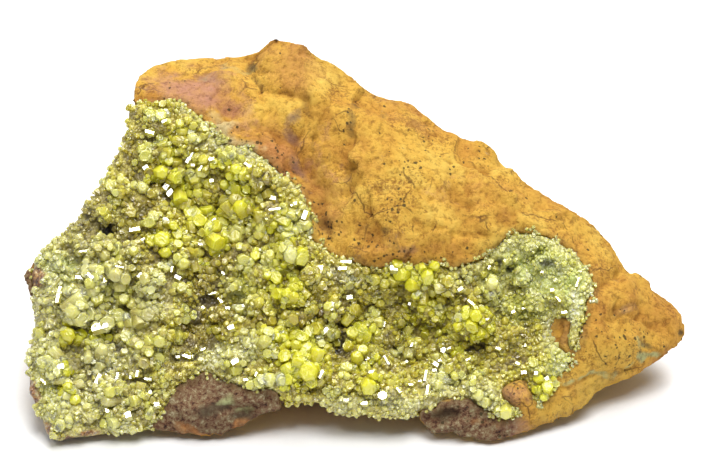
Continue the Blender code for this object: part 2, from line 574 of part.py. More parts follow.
def main():
    for old in list(bpy.data.objects):
        bpy.data.objects.remove(old)
    chance = random.Random(SEED)
    face = Face()
    rock_points, rock_faces = rock_shape(face, chance)
    limonite = stone_material("ochre limonite", (0.56, 0.31, 0.07), 0.9)
    rock = mesh_object("limonite_matrix", worn_feet(set_down(rock_points)), rock_faces, limonite)

    cutter_points, cutter_faces = bed_cutter(face, np.array(CRUST_EDGE, float))
    cutter = mesh_object("crust bed cutter", set_down(cutter_points), cutter_faces)
    cutter.hide_render = True
    cutter.display_type = "WIRE"
    cut_bed(rock, cutter)

    crust_points, crust_faces = crust_shape(face, chance)
    pyromorphite = stone_material("yellow-green pyromorphite", (0.47, 0.50, 0.06), 0.25)
    crust = mesh_object("pyromorphite_crust", set_down(crust_points), crust_faces, pyromorphite)
    centred([rock, crust])


main()
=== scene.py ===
# %% [markdown]
# # Pyromorphite crystals on a limonite rock
# The real object is a hand-sized piece of broken iron-stained rock. Hot, lead-rich water once ran
# through a crack in it and left a crust of stubby, six-sided, yellow-green crystals. The lesson starts
# from a plain model of both pieces, which already has their size, outline and main hollows, and gives
# each its fine surface: crumbly earth on the rock, and thousands of grown crystals on the crust. Every
# dressed piece could be sculpted instead, but a script can be read, changed and run again.

import math
import random

import bmesh
import bpy
import numpy as np
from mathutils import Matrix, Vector, noise
from mathutils.bvhtree import BVHTree


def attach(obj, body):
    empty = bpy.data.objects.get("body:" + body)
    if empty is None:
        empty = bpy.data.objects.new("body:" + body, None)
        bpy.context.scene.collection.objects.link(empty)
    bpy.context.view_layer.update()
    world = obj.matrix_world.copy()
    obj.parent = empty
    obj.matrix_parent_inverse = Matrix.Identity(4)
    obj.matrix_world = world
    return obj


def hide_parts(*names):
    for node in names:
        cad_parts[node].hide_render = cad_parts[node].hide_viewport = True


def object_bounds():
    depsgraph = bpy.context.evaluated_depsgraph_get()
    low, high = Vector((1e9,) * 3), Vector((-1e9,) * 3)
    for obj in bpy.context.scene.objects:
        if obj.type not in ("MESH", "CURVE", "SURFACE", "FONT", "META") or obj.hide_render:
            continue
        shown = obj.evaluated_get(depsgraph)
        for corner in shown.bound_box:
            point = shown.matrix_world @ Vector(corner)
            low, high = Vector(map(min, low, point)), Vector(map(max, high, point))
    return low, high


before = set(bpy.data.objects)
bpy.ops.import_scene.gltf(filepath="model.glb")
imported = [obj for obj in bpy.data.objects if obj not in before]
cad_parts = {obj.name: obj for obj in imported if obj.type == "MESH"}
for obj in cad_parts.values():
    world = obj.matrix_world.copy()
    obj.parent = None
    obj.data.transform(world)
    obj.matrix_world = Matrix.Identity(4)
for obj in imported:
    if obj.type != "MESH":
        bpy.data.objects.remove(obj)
CAD_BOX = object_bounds()
MM = 0.001
print("plain pieces:", ", ".join(sorted(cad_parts)))

# %% [markdown]
# ## A frame to place things by
# A specimen like this is read from its front, where the crystals are. So places on it are given as a
# viewer sees them: millimetres across and up from the middle of the view, on a plane that faces the
# viewer. A ray from the eye through such a place meets the stone where it belongs, whatever the depth
# there. The stone leans back by 30 degrees, and the eye is 45 cm away.

# %% The viewer's frame
LEAN = math.radians(30)
EYE_DISTANCE = 0.45
VIEW_MIDDLE = Vector((-0.35, -6.18, 26.6)) * MM
TO_EYE = Vector((0, -math.cos(LEAN), math.sin(LEAN)))
VIEW_UP = Vector((0, math.sin(LEAN), math.cos(LEAN)))
EYE = VIEW_MIDDLE + TO_EYE * EYE_DISTANCE


def seen_at(points):
    """Where the viewer sees each point: millimetres across and up from the middle of the view."""
    offsets = np.asarray(points, float) - np.array(VIEW_MIDDLE)
    nearer = 1 - offsets @ np.array(TO_EYE) / EYE_DISTANCE
    return np.stack([offsets[:, 0], offsets @ np.array(VIEW_UP)], axis=1) / nearer[:, None] / MM


def met_by_eye(surface, across, up):
    """The point and normal of a surface tree where the viewer sees this place."""
    target = VIEW_MIDDLE + (Vector((1, 0, 0)) * across + VIEW_UP * up) * MM
    place, normal, _, _ = surface.ray_cast(EYE, (target - EYE).normalized())
    return place, normal


def smoothstep(values, low, high):
    """Rises from 0 at the low value to 1 at the high one, gently at both ends."""
    share = np.clip((np.asarray(values) - low) / (high - low), 0, 1)
    return share * share * (3 - 2 * share)


print("the eye is at", [round(c / MM) for c in EYE], "millimetres")

# %% [markdown]
# ## Working copies
# The plain pieces stay as they are. A copy of each is merged into one skin, then remeshed with voxels,
# which gives even faces that are small enough to carve. Subdividing instead would keep the plain
# model's long, thin faces, and they carve badly.

# %% Helpers for meshes


def plain_copy(node, name):
    """The plain piece's skin as a new object, with the corners of its faces merged."""
    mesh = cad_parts[node].data.copy()
    mesh.materials.clear()
    shape = bmesh.new()
    shape.from_mesh(mesh)
    bmesh.ops.remove_doubles(shape, verts=shape.verts, dist=0.001 * MM)
    shape.to_mesh(mesh)
    shape.free()
    made = bpy.data.objects.new(name, mesh)
    bpy.context.scene.collection.objects.link(made)
    return made


def applied(made):
    """Turns what the object's modifiers make into its plain mesh."""
    graph = bpy.context.evaluated_depsgraph_get()
    mesh = bpy.data.meshes.new_from_object(made.evaluated_get(graph), depsgraph=graph)
    made.modifiers.clear()
    made.data = mesh
    return made


def remeshed(made, voxel, smoothing=0):
    """The object with an even skin of faces about a voxel across, and its creases smoothed away."""
    remesh = made.modifiers.new("even skin", "REMESH")
    remesh.mode = "VOXEL"
    remesh.voxel_size = voxel * MM
    if smoothing:
        smooth = made.modifiers.new("soften", "SMOOTH")
        smooth.factor = 0.5
        smooth.iterations = smoothing
    return applied(made)


def skin_of(made):
    """The mesh's points and their normals, as arrays."""
    count = len(made.data.vertices)
    points, normals = np.empty(count * 3), np.empty(count * 3)
    made.data.vertices.foreach_get("co", points)
    made.data.vertex_normals.foreach_get("vector", normals)
    return points.reshape(-1, 3), normals.reshape(-1, 3)


def moved_skin(made, points):
    """Sets the mesh's points, kept inside the plain model's box."""
    kept = np.clip(points, np.array(CAD_BOX[0]), np.array(CAD_BOX[1]))
    made.data.vertices.foreach_set("co", kept.ravel())
    made.data.update()


def tree_of(made):
    """A tree of the object's faces, for rays and distances."""
    return BVHTree.FromPolygons([v.co for v in made.data.vertices],
                                [p.vertices for p in made.data.polygons])


def distance_from(points, surface):
    """Each point's distance to a surface tree, in millimetres."""
    return np.array([surface.find_nearest(p)[3] for p in points]) / MM


def relief(points, size, shift=0.0):
    """Smooth random relief between about -1 and 1, with lumps of this size in millimetres."""
    offset = Vector((shift, shift * 1.7, -shift))
    return np.array([noise.noise(Vector(p) / (size * MM) + offset) for p in points])


# The deepest that a facet is cut, in millimetres.
DEEPEST_CUT = 1.2


def facets(points, normals, size, tilt):
    """How far to move each point, in millimetres, so that neighbours share a flat, tilted facet."""
    groups = {}
    for k, p in enumerate(points):
        middle = noise.voronoi(Vector(p) / (size * MM) + Vector((size, -size, size)))[1][0]
        groups.setdefault(tuple(round(m, 3) for m in middle), []).append(k)
    heights = np.empty(len(points))
    for middle, members in groups.items():
        offsets = (points[members] - points[members].mean(axis=0)) / MM
        facing = normals[members].mean(axis=0)
        agreement = np.linalg.norm(facing)
        lean = np.array(noise.cell_vector(Vector(middle) * 7.3)) * tilt
        cut = np.clip(offsets @ (lean - facing / agreement), -DEEPEST_CUT, DEEPEST_CUT)
        heights[members] = cut * smoothstep(agreement, 0.75, 0.92)
    return heights


def distance_to_line(seen, line):
    """How far each seen place lies from a line through these corners."""
    nearest = np.full(len(seen), np.inf)
    for start, end in zip(np.array(line[:-1], float), np.array(line[1:], float)):
        way = end - start
        share = np.clip((seen - start) @ way / (way @ way), 0, 1)
        nearest = np.minimum(nearest, np.linalg.norm(seen - start - share[:, None] * way, axis=1))
    return nearest


def stored(made, name, values):
    """Keeps one number for each point of the mesh, for a material or a node tree to read."""
    attribute = made.data.attributes.new(name, "FLOAT", "POINT")
    attribute.data.foreach_set("value", np.asarray(values, np.float32))


crust_surface = tree_of(plain_copy("pyromorphite_crust", "crust measure"))
rock_surface = tree_of(plain_copy("limonite_matrix", "rock measure"))
for helper in ("crust measure", "rock measure"):
    bpy.data.objects.remove(bpy.data.objects[helper])

# %% [markdown]
# ## Stains
# Iron, manganese and lead minerals stain the rock in patches. Each patch here is a soft ellipse, given by
# where the viewer sees it, how far it reaches, how it is turned and how strong it is. The patches only say
# where a stain is. Its grain comes from the material. Stains could be painted on too, but a short list of
# ellipses is easy to read and to move.
# Some of the blackish patches are painted shade in pits and dents rather than stains.

# %% Helper for soft patches


def ellipse(seen, across, up, length, width, turn):
    """How deep each seen place lies in a soft ellipse: 1 in its middle, 0 outside."""
    angle = math.radians(turn)
    offset = seen - (across, up)
    along = offset @ (math.cos(angle), math.sin(angle)) / length
    aside = offset @ (-math.sin(angle), math.cos(angle)) / width
    return 1 - smoothstep(np.hypot(along, aside), 0.3, 1.3)


def patches(seen, list_of_patches):
    """How strongly each seen place lies in the strongest of the ellipses.

    An ellipse is listed as across, up, half length, half width, turn in degrees and strength.
    """
    strongest = np.zeros(len(seen))
    for *form, strength in list_of_patches:
        strongest = np.maximum(strongest, strength * ellipse(seen, *form))
    return strongest


# Random relief seldom comes near 1, so a shift by it is stretched.
SHIFT_STRETCH = 1.6


def warped(seen, points, reach=1.6, size=7.0):
    """The seen places shifted about, so that patches get a natural, ragged outline."""
    across = relief(points, size, 3) + 0.5 * relief(points, size / 3, 5)
    up = relief(points, size, 7) + 0.5 * relief(points, size / 3, 9)
    return seen + reach * np.stack([across, up], axis=1) * SHIFT_STRETCH


PINK_STAINS = [
    (-27, 24.6, 9, 4, -10, 0.8), (-19, 21.6, 5, 3, -30, 0.7), (-31, 21, 6, 3, 10, 0.4),
    (-20, 17.8, 3, 1.2, -60, 0.5), (-5, 13, 2.5, 7, 15, 0.4), (14, 7.5, 3, 2, -20, 0.35),
    (27, -30.8, 3.5, 2.2, -20, 0.5), (26.8, -26, 2.8, 2.4, 0, 0.6),
]
TAN_PATCHES = [
    (-10, 28, 7, 5, -25, 0.8), (-5, 6, 5, 8, 20, 0.7), (4, -1, 9, 4, -20, 0.4), (-14, 15, 6, 6, -50, 0.6),
    (2, 12, 4, 6, 10, 0.3), (20, 8, 4, 6, 0, 0.4), (30, 10, 4, 2, -30, 0.4), (40, -24, 8, 2, 25, 0.5),
    (-25, 25, 10, 5, -10, 0.7), (8, 21, 8, 3, -30, 0.5),
]
PURPLE_STAINS = [
    (-10, 19.8, 1.0, 3.2, -34, 0.7), (-10.3, 16.6, 1.0, 2.4, 51, 0.7), (-9, 11.4, 1.1, 3.2, 31, 0.8),
    (-24, 26.5, 4, 1.5, -15, 0.45), (-1.5, 10, 0.9, 3, 0, 0.4), (45.5, -12.6, 3.2, 1.3, 25, 0.6),
    (8, -2.2, 4, 1, -15, 0.4),
]
# Blackish patches: partly real stains, such as manganese streaks and patches on the feet, and partly painted
# shade laid in pits and dents.
DARK_STAINS_AND_PIT_SHADE = [
    (-23.5, -28.6, 4.5, 1.8, 10, 1), (-18.5, -30, 3, 1.4, -10, 0.8), (15, -30, 3.4, 1.6, 0, 0.9),
    (-9.2, 20.6, 0.6, 2.8, -30, 0.5), (-6.9, 15, 0.5, 3, 12, 0.5), (-3.5, 14, 0.4, 3, 5, 0.4),
    (-0.7, 18.4, 1.3, 2.4, -12, 0.8), (-8, 21.5, 0.8, 2, 10, 0.6), (-16.8, 28.2, 1.3, 1.6, 30, 0.9),
    (-15.6, 25.2, 2.6, 0.7, -40, 0.5), (-4.5, 1.8, 1.6, 3, 35, 0.6), (5.2, 0.9, 1.6, 0.9, 0, 0.6),
    (7.3, -1.6, 0.5, 1.3, 20, 0.6), (0.4, 21.4, 1.2, 0.6, 0, 0.6), (4.7, 20.2, 1, 0.6, 0, 0.5),
    (48.6, -18.3, 1, 0.7, 0, 0.8), (54.3, -15.8, 0.7, 0.7, 0, 0.9), (17.6, 12.4, 0.7, 1.6, 0, 0.3),
]
SPECKED_PATCHES = [
    (7.7, 12.3, 3.4, 2.2, 0, 0.9), (7.2, 5.6, 3, 3, -30, 1), (12, 17, 2, 1.5, 0, 0.5),
    (-0.7, 18.4, 1.4, 2.8, -12, 1.6), (-4, 2, 3.6, 4.5, 35, 1), (4, -2, 7, 2.6, -20, 0.9),
    (14, -3, 8, 2, 5, 0.5), (-18, 14, 5, 4, -40, 0.5), (-12, 8, 4, 3, -50, 0.5), (20, 13, 4, 3, 0, 0.4),
    (33, -20, 4, 4, 0, 0.5), (45, -17, 7, 5, 0, 0.5), (26.8, -26, 2.8, 2.4, 0, 1), (20, -30, 4, 2, 0, 1),
    (-21, 17.4, 5, 2.6, -30, 0.7), (16, 11.8, 1.6, 2.4, 0, 1), (-2.8, 3, 2, 4, 0, 1.4),
    (-13, 13, 7, 3, -55, 0.7),
]
BEIGE_PATCHES = [(-22, 18.2, 4.8, 2.6, -30, 1), (-17.5, 15.4, 3, 2, -45, 1), (11.5, 9.6, 1.6, 1, 0, 0.3)]
BROWN_PATCHES = [
    (-22, -28.6, 15, 6.4, 3, 1), (-22, -25, 10, 4, 0, 1), (-22, -33.5, 16, 3.4, 0, 1),
    (18, -33.5, 9, 2.6, 0, 1), (-33, -34, 8, 2.2, 0, 0.9), (-12, -26.5, 7, 3, 10, 0.9),
    (14, -31.5, 5, 3.5, 0, 1), (18, -30.5, 10, 4.5, -5, 1), (24, -33, 7, 2, 0, 0.6),
    (33, -30.5, 8, 1.6, 25, 0.2), (-54, -18, 2.5, 18, 0, 0.9),
]
ORANGE_PATCHES = [
    (-13, 13, 7, 3, -55, 1), (-5, 12, 4, 2.5, -80, 0.3), (12, -3.4, 12, 2.6, 0, 0.3),
    (34.5, -15.5, 3, 3.4, 0, 0.6), (50, -22, 8, 2.4, 30, 0.5), (-51, -30, 2, 2.5, 0, 1),
    (24, 6, 8, 2.4, -35, 0.3), (-33, 19, 4, 1.6, 0, 0.5), (-25, -32.8, 4.5, 1.0, 0, 1),
    (-17, -32, 5, 0.8, 12, 1), (22, -31, 3, 1, 10, 0.5),
]
GREEN_PATCHES = [
    (48.3, -20, 1.7, 0.9, 15, 1), (45.2, -20.8, 1.4, 0.8, 25, 0.8), (40.5, -23.4, 3, 0.7, 20, 0.9),
    (36, -24, 2, 0.7, 0, 0.6), (47, -18.6, 0.9, 0.8, 0, 0.7), (-21, -27.2, 2.6, 1.0, 0, 0.65),
    (-17.6, -29.4, 2, 0.8, 10, 0.65), (20, -28.6, 2, 0.7, -20, 0.7), (-20, 26.8, 6, 0.9, -5, 0.35),
]

print("stains by hand:", len(PINK_STAINS + TAN_PATCHES + PURPLE_STAINS + DARK_STAINS_AND_PIT_SHADE + SPECKED_PATCHES
                             + BEIGE_PATCHES + BROWN_PATCHES + ORANGE_PATCHES + GREEN_PATCHES))

# %% [markdown]
# ## The rock
# Limonite is rust turned to stone. It breaks into hackly facets with an earthy, powdery skin. What shows
# from a step away are folds: lumps where hard spots stood proud, and creases where it split. They are
# listed by place, as the viewer sees them, and carved into the mesh with smaller random relief, because
# light and shadow on real forms give the rock its look from every side. The hackly facets are cut by
# pressing each patch of the skin towards a plane of its own.

# %% Folds of the front
# Lumps and dents: across, up, half length, half width, turn in degrees, height in millimetres.
ROCK_LUMPS = [
    (-10, 27.5, 7, 3.5, -25, 0.8), (-24, 23.5, 9, 3.5, -10, 0.4), (-13, 20, 5, 2, -10, 0.5),
    (-14, 13.5, 3, 3.5, -50, 0.5), (-4.2, 12, 1.7, 4.6, 8, 0.8), (8, 14.5, 7, 5, -25, 0.8),
    (8, 5, 7, 3.5, -15, 0.4), (21.8, 13.6, 3, 1.9, -25, 1.3), (26, 8.3, 6, 2.2, -18, 0.8),
    (33, 6, 5, 3, -30, 0.4), (38.5, -1, 8, 2.6, -52, 0.7), (45, -18, 5, 3, -10, 0.5),
    (52, -15.5, 2.5, 3.5, 0, 0.5), (14, 22, 5, 1.6, -28, 0.5), (28, -1, 7, 1.6, -15, 0.3),
    (46, -9.5, 4, 1.8, -35, 0.5), (-1.8, 22.6, 4, 2.3, -20, -0.9), (-0.6, 18.4, 1.4, 2.6, -12, -1.0),
    (48.5, -18.2, 1.3, 0.9, 0, -0.8), (54.3, -15.8, 0.8, 0.8, 0, -0.6), (17.2, 9, 1.5, 3.4, 5, -0.4),
    (26.8, -26, 2.8, 2.4, 0, 1.2), (14.6, -30.2, 3.4, 1.7, 0, -2.0), (-18, -29, 3, 1.2, -15, -1.2),
    (34.3, -16.5, 2.2, 3.4, 0, 0.6), (43.2, -12.8, 1.3, 0.7, 30, -0.5), (-9, 16.5, 1.7, 4, -15, -0.6),
    (31, 0.5, 4, 1.2, -10, -0.3), (3, -0.5, 6, 2, -15, -0.4), (40, -26, 6, 1.2, 28, -0.5),
]
# Creases: depth and half width in millimetres, then the corners of the line.
ROCK_CREASES = [
    (1.0, 1.3, [(-15.2, 31.5), (-17.6, 28.2), (-17, 25.7), (-14.8, 24.2), (-8.2, 23.5)]),
    (0.5, 0.6, [(-19.2, 18.1), (-17, 18.4), (-13.4, 17.6)]),
    (0.8, 1.0, [(-8, 22.8), (-8.8, 18.5), (-10.2, 14.5)]),
    (1.0, 1.3, [(-8.6, 13.4), (-6.3, 9.3), (-5, 6.3), (-5.6, 2)]),
    (0.5, 0.6, [(-6.8, 17.2), (-7.2, 14.5), (-6.2, 11.2), (-4.8, 12.2)]),
    (0.9, 1.1, [(-0.6, 16.5), (-1.4, 12), (-1.3, 7)]),
    (0.5, 0.8, [(2.6, 12), (-1.3, 7)]),
    (1.0, 1.1, [(17.2, 15), (18.4, 11.6), (21, 11), (24.6, 11.4)]),
    (0.9, 0.9, [(15.6, 11.4), (16.6, 6.6), (19, 5.2), (19.3, 9.4)]),
    (0.6, 1.2, [(19, 5.2), (25, 5.6), (31.6, 4)]),
    (0.7, 1.2, [(43.6, -3), (44.6, -5.6), (41.5, -8.4)]),
    (0.5, 0.6, [(42.3, -14.2), (44.4, -12.6), (47, -11.4), (48.6, -12.2), (47.8, -14)]),
    (0.5, 0.6, [(43, -14.6), (45.6, -13.4), (47.8, -14), (50.2, -14.6)]),
    (0.5, 0.7, [(32, -25.4), (37, -25), (42, -22.8), (47, -22)]),
    (0.4, 0.6, [(10, 2.4), (16, 0.4), (23, 0.2)]),
    (0.5, 0.7, [(-32, 20.6), (-26, 19.6), (-21, 17.2)]),
]
ROCK_VOXEL = 0.5
# Relief: size and height in millimetres.
ROCK_RELIEF = [(2.4, 0.16), (1.2, 0.16)]
# Facets: size in millimetres, and how far towards flat each is cut.
ROCK_FACETS = [(9.0, 0.85), (4.0, 0.4)]
FACET_TILT = 0.12
PIT_SIZE, PIT_DEPTH = 2.3, 0.45
# The listed folds are eased to this share of their height, and a crease reaches past its half width.
FOLD_SHARE, CREASE_REACH = 0.55, 1.5
# How much rougher the brown feet are.
CRUMBLING = 1.6
print("folds:", len(ROCK_LUMPS), "and creases:", len(ROCK_CREASES))

# %% Carve the rock
rock = remeshed(plain_copy("limonite_matrix", "limonite_rock"), ROCK_VOXEL, smoothing=2)
rock_points, rock_normals = skin_of(rock)
rock_seen = seen_at(rock_points)
rock_places = warped(rock_seen, rock_points, 0.5)
to_crust = distance_from(rock_points, crust_surface)
bare = smoothstep(to_crust, 0.4, 1.6)
in_front = smoothstep(rock_normals @ np.array(TO_EYE), -0.1, 0.3)

folds = sum(FOLD_SHARE * height * ellipse(rock_places, *form) for *form, height in ROCK_LUMPS)
for depth, width, line in ROCK_CREASES:
    folds -= depth * np.clip(1 - distance_to_line(rock_places, line) / (CREASE_REACH * width), 0, 1) ** 1.5
warp = np.stack([relief(rock_points, 5.0, k) for k in (31, 33, 35)], axis=1) * MM
split = sum(share * facets(rock_points + warp, rock_normals, size, FACET_TILT)
            for size, share in ROCK_FACETS)
split *= 0.2 + 0.8 * smoothstep(np.abs(rock_normals @ np.array(TO_EYE)), 0.1, 0.5)
rough = sum(depth * relief(rock_points, size, size) for size, depth in ROCK_RELIEF)
pits = relief(rock_points, PIT_SIZE, 40) + 0.5 * relief(rock_points, PIT_SIZE / 2, 41)
crumbly = 1 + CRUMBLING * patches(rock_seen, BROWN_PATCHES)
rough = rough * crumbly - PIT_DEPTH * smoothstep(pits, 0.55, 0.85)
carved = folds * in_front + split + rough
moved_skin(rock, rock_points + rock_normals * (carved * bare * MM)[:, None])

stain_places = warped(rock_seen, rock_points)
for name, stains in {
    "tan": TAN_PATCHES, "pink": PINK_STAINS, "purple": PURPLE_STAINS, "dark_stain_and_pit_shade": DARK_STAINS_AND_PIT_SHADE,
    "beige": BEIGE_PATCHES, "specked": SPECKED_PATCHES,
    "brown": BROWN_PATCHES, "orange": ORANGE_PATCHES, "green": GREEN_PATCHES,
}.items():
    places = rock_places if name in ("specked", "purple", "dark_stain_and_pit_shade") else stain_places
    stored(rock, name, patches(places, stains) * in_front)
stored(rock, "hollow", np.clip(-carved, 0, 1) * bare)
# A brown band on the rock beside the crust: partly the crust's broken bits, partly painted shade under its
# edge.
stored(rock, "near_crust", 0.6 * (1 - smoothstep(to_crust, 0.8, 2.4)))
rock.data.shade_smooth()
print("rock:", len(rock.data.polygons), "faces")

# %% [markdown]
# ## The druse
# Between the big crystals the crust is druse: a carpet of crystals too small to count, over mounds
# that the water's flow left. The mounds are the plain crust, softened until its crystals are lumps.
# The bed also carries the marks that the crystals on it read: where they grow, how large, what colour, and
# where painted shade darkens them in its sunken places.
# To model every crystal down to the rock would take millions of faces, and most would never be seen.

# %% Where the crust is golden, minty, pale, smoky, hollow, snapped or coarse
GOLDEN_CLUSTERS = [
    (-28, 9, 4.5, 4, 0, 0.7), (-24, 2, 5, 4.5, 0, 0.7), (-12, 3, 5, 4, 0, 0.5), (-20, 10, 4, 4.5, 60, 0.7),
    (-10.7, -3, 3.5, 3.5, 0, 0.8), (-12, -8.5, 3.5, 3.5, 0, 0.9), (-14, -18, 4, 4, 0, 0.7),
    (-9, -20, 6, 6, 5, 1), (1.5, -19, 4, 7, 0, 0.5), (20, -14.7, 3, 3, 0, 1), (9.5, -6.8, 5, 2.2, 0, 0.9),
    (-43, -14, 6, 6, 30, 0.4), (16, -22, 4, 3, 0, 0.3), (31.4, -24.5, 2, 3, 0, 0.7),
    (-48, -22, 4, 8, 0, 0.4), (-31, 0, 4, 2, 10, 0.7), (-29, 15, 7, 5, 0, 0.5), (11, -14, 8, 5, 0, 0.5),
]
MINTY_PLACES = [
    (31, -6, 8, 5, -20, 0.8), (36.8, -9, 2.5, 5, 0, 1), (29, -12, 6, 3, 0, 0.5), (34, -21, 3, 3, 0, 0.6),
    (23, -8.5, 3, 3, 0, 0.5), (-49, -6, 4, 4, 0, 0.8), (-51, -26, 3, 6, 0, 0.4),
    (-13.7, -3.5, 2, 3, 0, 0.4), (-18, -9, 3, 3, 0, 0.4),
]
PALE_PLACES = [
    (-46, -9, 4, 3, 20, 0.4), (-38, -20, 5, 4, 0, 0.35), (-33, -10, 4, 6, -20, 0.6),
    (-42, -32, 8, 2, 0, 0.8), (-21, -20, 6, 3, 10, 0.8), (-17.5, -17.5, 1.6, 2.6, 0, 0.8),
    (5, -28, 14, 1.8, 0, 0.6), (15, -24.5, 4, 3, 0, 0.6), (21.5, -27, 4, 3, 0, 0.7), (28, -1, 6, 2, 0, 0.4),
    (31, -6, 8, 5, -20, 0.35), (37, -11, 1.4, 6, -8, 1), (32, -15.5, 1.6, 4, 10, 0.8),
    (35, -21, 3, 2, 0, 0.5), (-25, 15.5, 3, 2, -35, 0.4), (-9, 2.5, 2, 3, 20, 0.5),
    (-2, -6.5, 4, 1.5, -15, 0.6), (-50, -9, 2, 3, 0, 0.7), (3, -21, 3, 3, 0, 0.2),
]
SMOKY_PLACES = [
    (-30, 15, 7, 5, 0, 0.15), (-30, 8, 6, 3, 0, 0.2), (-11, -12, 4, 7, 0, 0.3), (-22, 5.5, 6, 3, -20, 0.9),
    (-20, -2, 4, 3, 30, 0.8), (-13, -1, 3, 2.5, 0, 0.6), (-12, 5, 2, 2, 0, 0.6), (-38, -3, 6, 4, 20, 0.7),
    (-33, -3, 5, 3, 20, 0.8), (-24, -9, 6, 5, 0, 1), (-26, -15, 4, 6, 0, 0.9), (-16, 8, 2, 4, 45, 0.8),
    (1, -8, 3, 2, 0, 0.7), (-3, -18, 3, 4, 0, 0.6), (24, -20, 8, 3, 0, 0.6), (-7, -11, 3, 5, 0, 0.4),
    (-42, -24, 7, 5, 0, 0.7), (-34, -29, 4, 2.4, 0, 0.6), (-42, 4, 5, 4, 40, 0.9), (-35, 6, 4, 3, 0, 0.7),
    (-39, -19, 3, 2, 0, 0.9), (28, -3, 5, 2.4, 10, 0.5), (-45, 0, 6, 2, 45, 0.6),
]
# Cavities are carved in, and the druse's finish paints them nearly black as painted shade.
CAVITIES = [
    (-41.3, 1, 1.6, 1.1, 10, 1), (-36.3, -14.2, 0.7, 1.7, 10, 1), (-37.8, -12, 1.2, 0.6, 0, 0.7),
    (-39, -19, 1.8, 0.8, -10, 0.6), (-28.2, -20.2, 2.8, 1, -5, 0.8), (-26.4, -13, 0.8, 2.4, 10, 0.7),
    (-2.6, -18, 1.8, 1.6, 0, 0.8), (7.9, -15.3, 0.5, 1.6, -20, 1), (13.6, -17.2, 0.5, 0.5, 0, 0.9),
    (-12, -5.5, 1.2, 0.6, 10, 0.8), (24, -4.3, 1.1, 0.8, 0, 0.9), (32, -4.6, 1.6, 0.8, -10, 0.9),
    (-17.4, -12.6, 0.5, 0.5, 0, 1), (-30, 11.4, 1.8, 1, -40, 0.6), (-27.4, 6.2, 0.7, 2.2, 15, 0.7),
    (-34, 16, 1.3, 0.6, 0, 0.6), (15.6, -10.6, 0.4, 0.9, 30, 0.8), (-22.6, 4.2, 1.6, 0.8, 30, 0.6),
    (-27.2, -5, 0.7, 2, 20, 0.8), (-15.6, -4, 0.6, 1.6, 0, 0.5), (-24.5, -10.5, 2, 1.4, 0, 0.6),
    (9.4, -7.2, 0.4, 1.2, 20, 0.7), (-44, 3.4, 1.2, 0.7, 40, 0.5), (-46, -19.4, 1.5, 0.6, -40, 0.5),
    (-5.4, -14, 0.6, 1.6, 20, 0.6), (20, -18.6, 2, 0.8, 10, 0.5), (26, -5.6, 0.7, 0.6, 0, 0.8),
    (-33, 15.6, 0.8, 0.5, 0, 0.6),
]
# Where the crust thins out to a pale, sugary rim.
RIM_PLACES = [
    (-18, 13, 20, 7, -48, 1), (30, -6, 14, 9, 0, 1), (-20, -24, 9, 4, 0, 0.9), (5, -28, 14, 3, 0, 0.5),
    (18, -28, 8, 4, 0, 0.9), (-51, -6, 5, 7, 0, 0.8), (-42, -32, 10, 3, 0, 0.8), (33, -18, 4, 6, 0, 0.9),
]
# Where the crust has snapped off and the rock under it shows.
SNAPPED_PLACES = [
    (-55, -7, 4.2, 4.5, 0, 1), (-55, -16, 2.2, 9, 0, 1), (-55, -26, 2.4, 5, 0, 1),
    (-52.5, -31.5, 2.6, 2.4, 0, 1), (-42, -34.3, 9, 1.1, 0, 1), (12.5, -29.5, 3.5, 1, 15, 0.8),
]
COARSE_PLACES = GOLDEN_CLUSTERS + [
    (-24, 6, 18, 20, 0, 0.8), (-42, -16, 14, 18, 0, 0.9), (-5, -15, 18, 12, 0, 0.75),
    (15, -12, 14, 12, 0, 0.5),
]
# The left side is paler in all.
PALE_SIDE = [(-46, -16, 13, 22, 0, 0.7)]
# The knob, the notch at the right and the brown feet stay bare of fringe crystals.
STAYS_BARE = [
    (26.8, -26, 3.2, 3, 0, 1), (34.8, -16.5, 2.6, 4, 0, 1), (-22, -28, 12, 3, 0, 1),
    (16, -31, 6, 3, 0, 1),
]
print("cavities:", len(CAVITIES), "and golden clusters:", len(GOLDEN_CLUSTERS))

# %% Shape the druse bed
# Mounds: size and height in millimetres.
DRUSE_VOXEL = 0.45
DRUSE_RELIEF = [(5.0, 1.0), (2.6, 0.9), (1.3, 0.3)]
GAP_FILL = 0.4

druse = remeshed(plain_copy("pyromorphite_crust", "druse_bed"), DRUSE_VOXEL, smoothing=14)
druse_points, druse_normals = skin_of(druse)
druse_seen = seen_at(druse_points)
to_rock = distance_from(druse_points, rock_surface)
facing = druse_normals @ np.array(TO_EYE)
mounds = sum(depth * relief(druse_points, size, size) for size, depth in DRUSE_RELIEF)
open_face = smoothstep(facing, 0.0, 0.4) * smoothstep(to_rock, 0.8, 2.2)
cavity = patches(druse_seen, CAVITIES) * open_face
moved_skin(druse, druse_points + druse_normals * ((GAP_FILL + mounds * open_face - cavity) * MM)[:, None])
# The low places between mounds, and the cavities, count as sunken. The colour marks paint them darker and
# browner, as painted shade.
sunken = np.maximum(smoothstep(-mounds, 0.05, 0.45) * open_face, smoothstep(cavity, 0.1, 0.5))

# %% Mark the bed


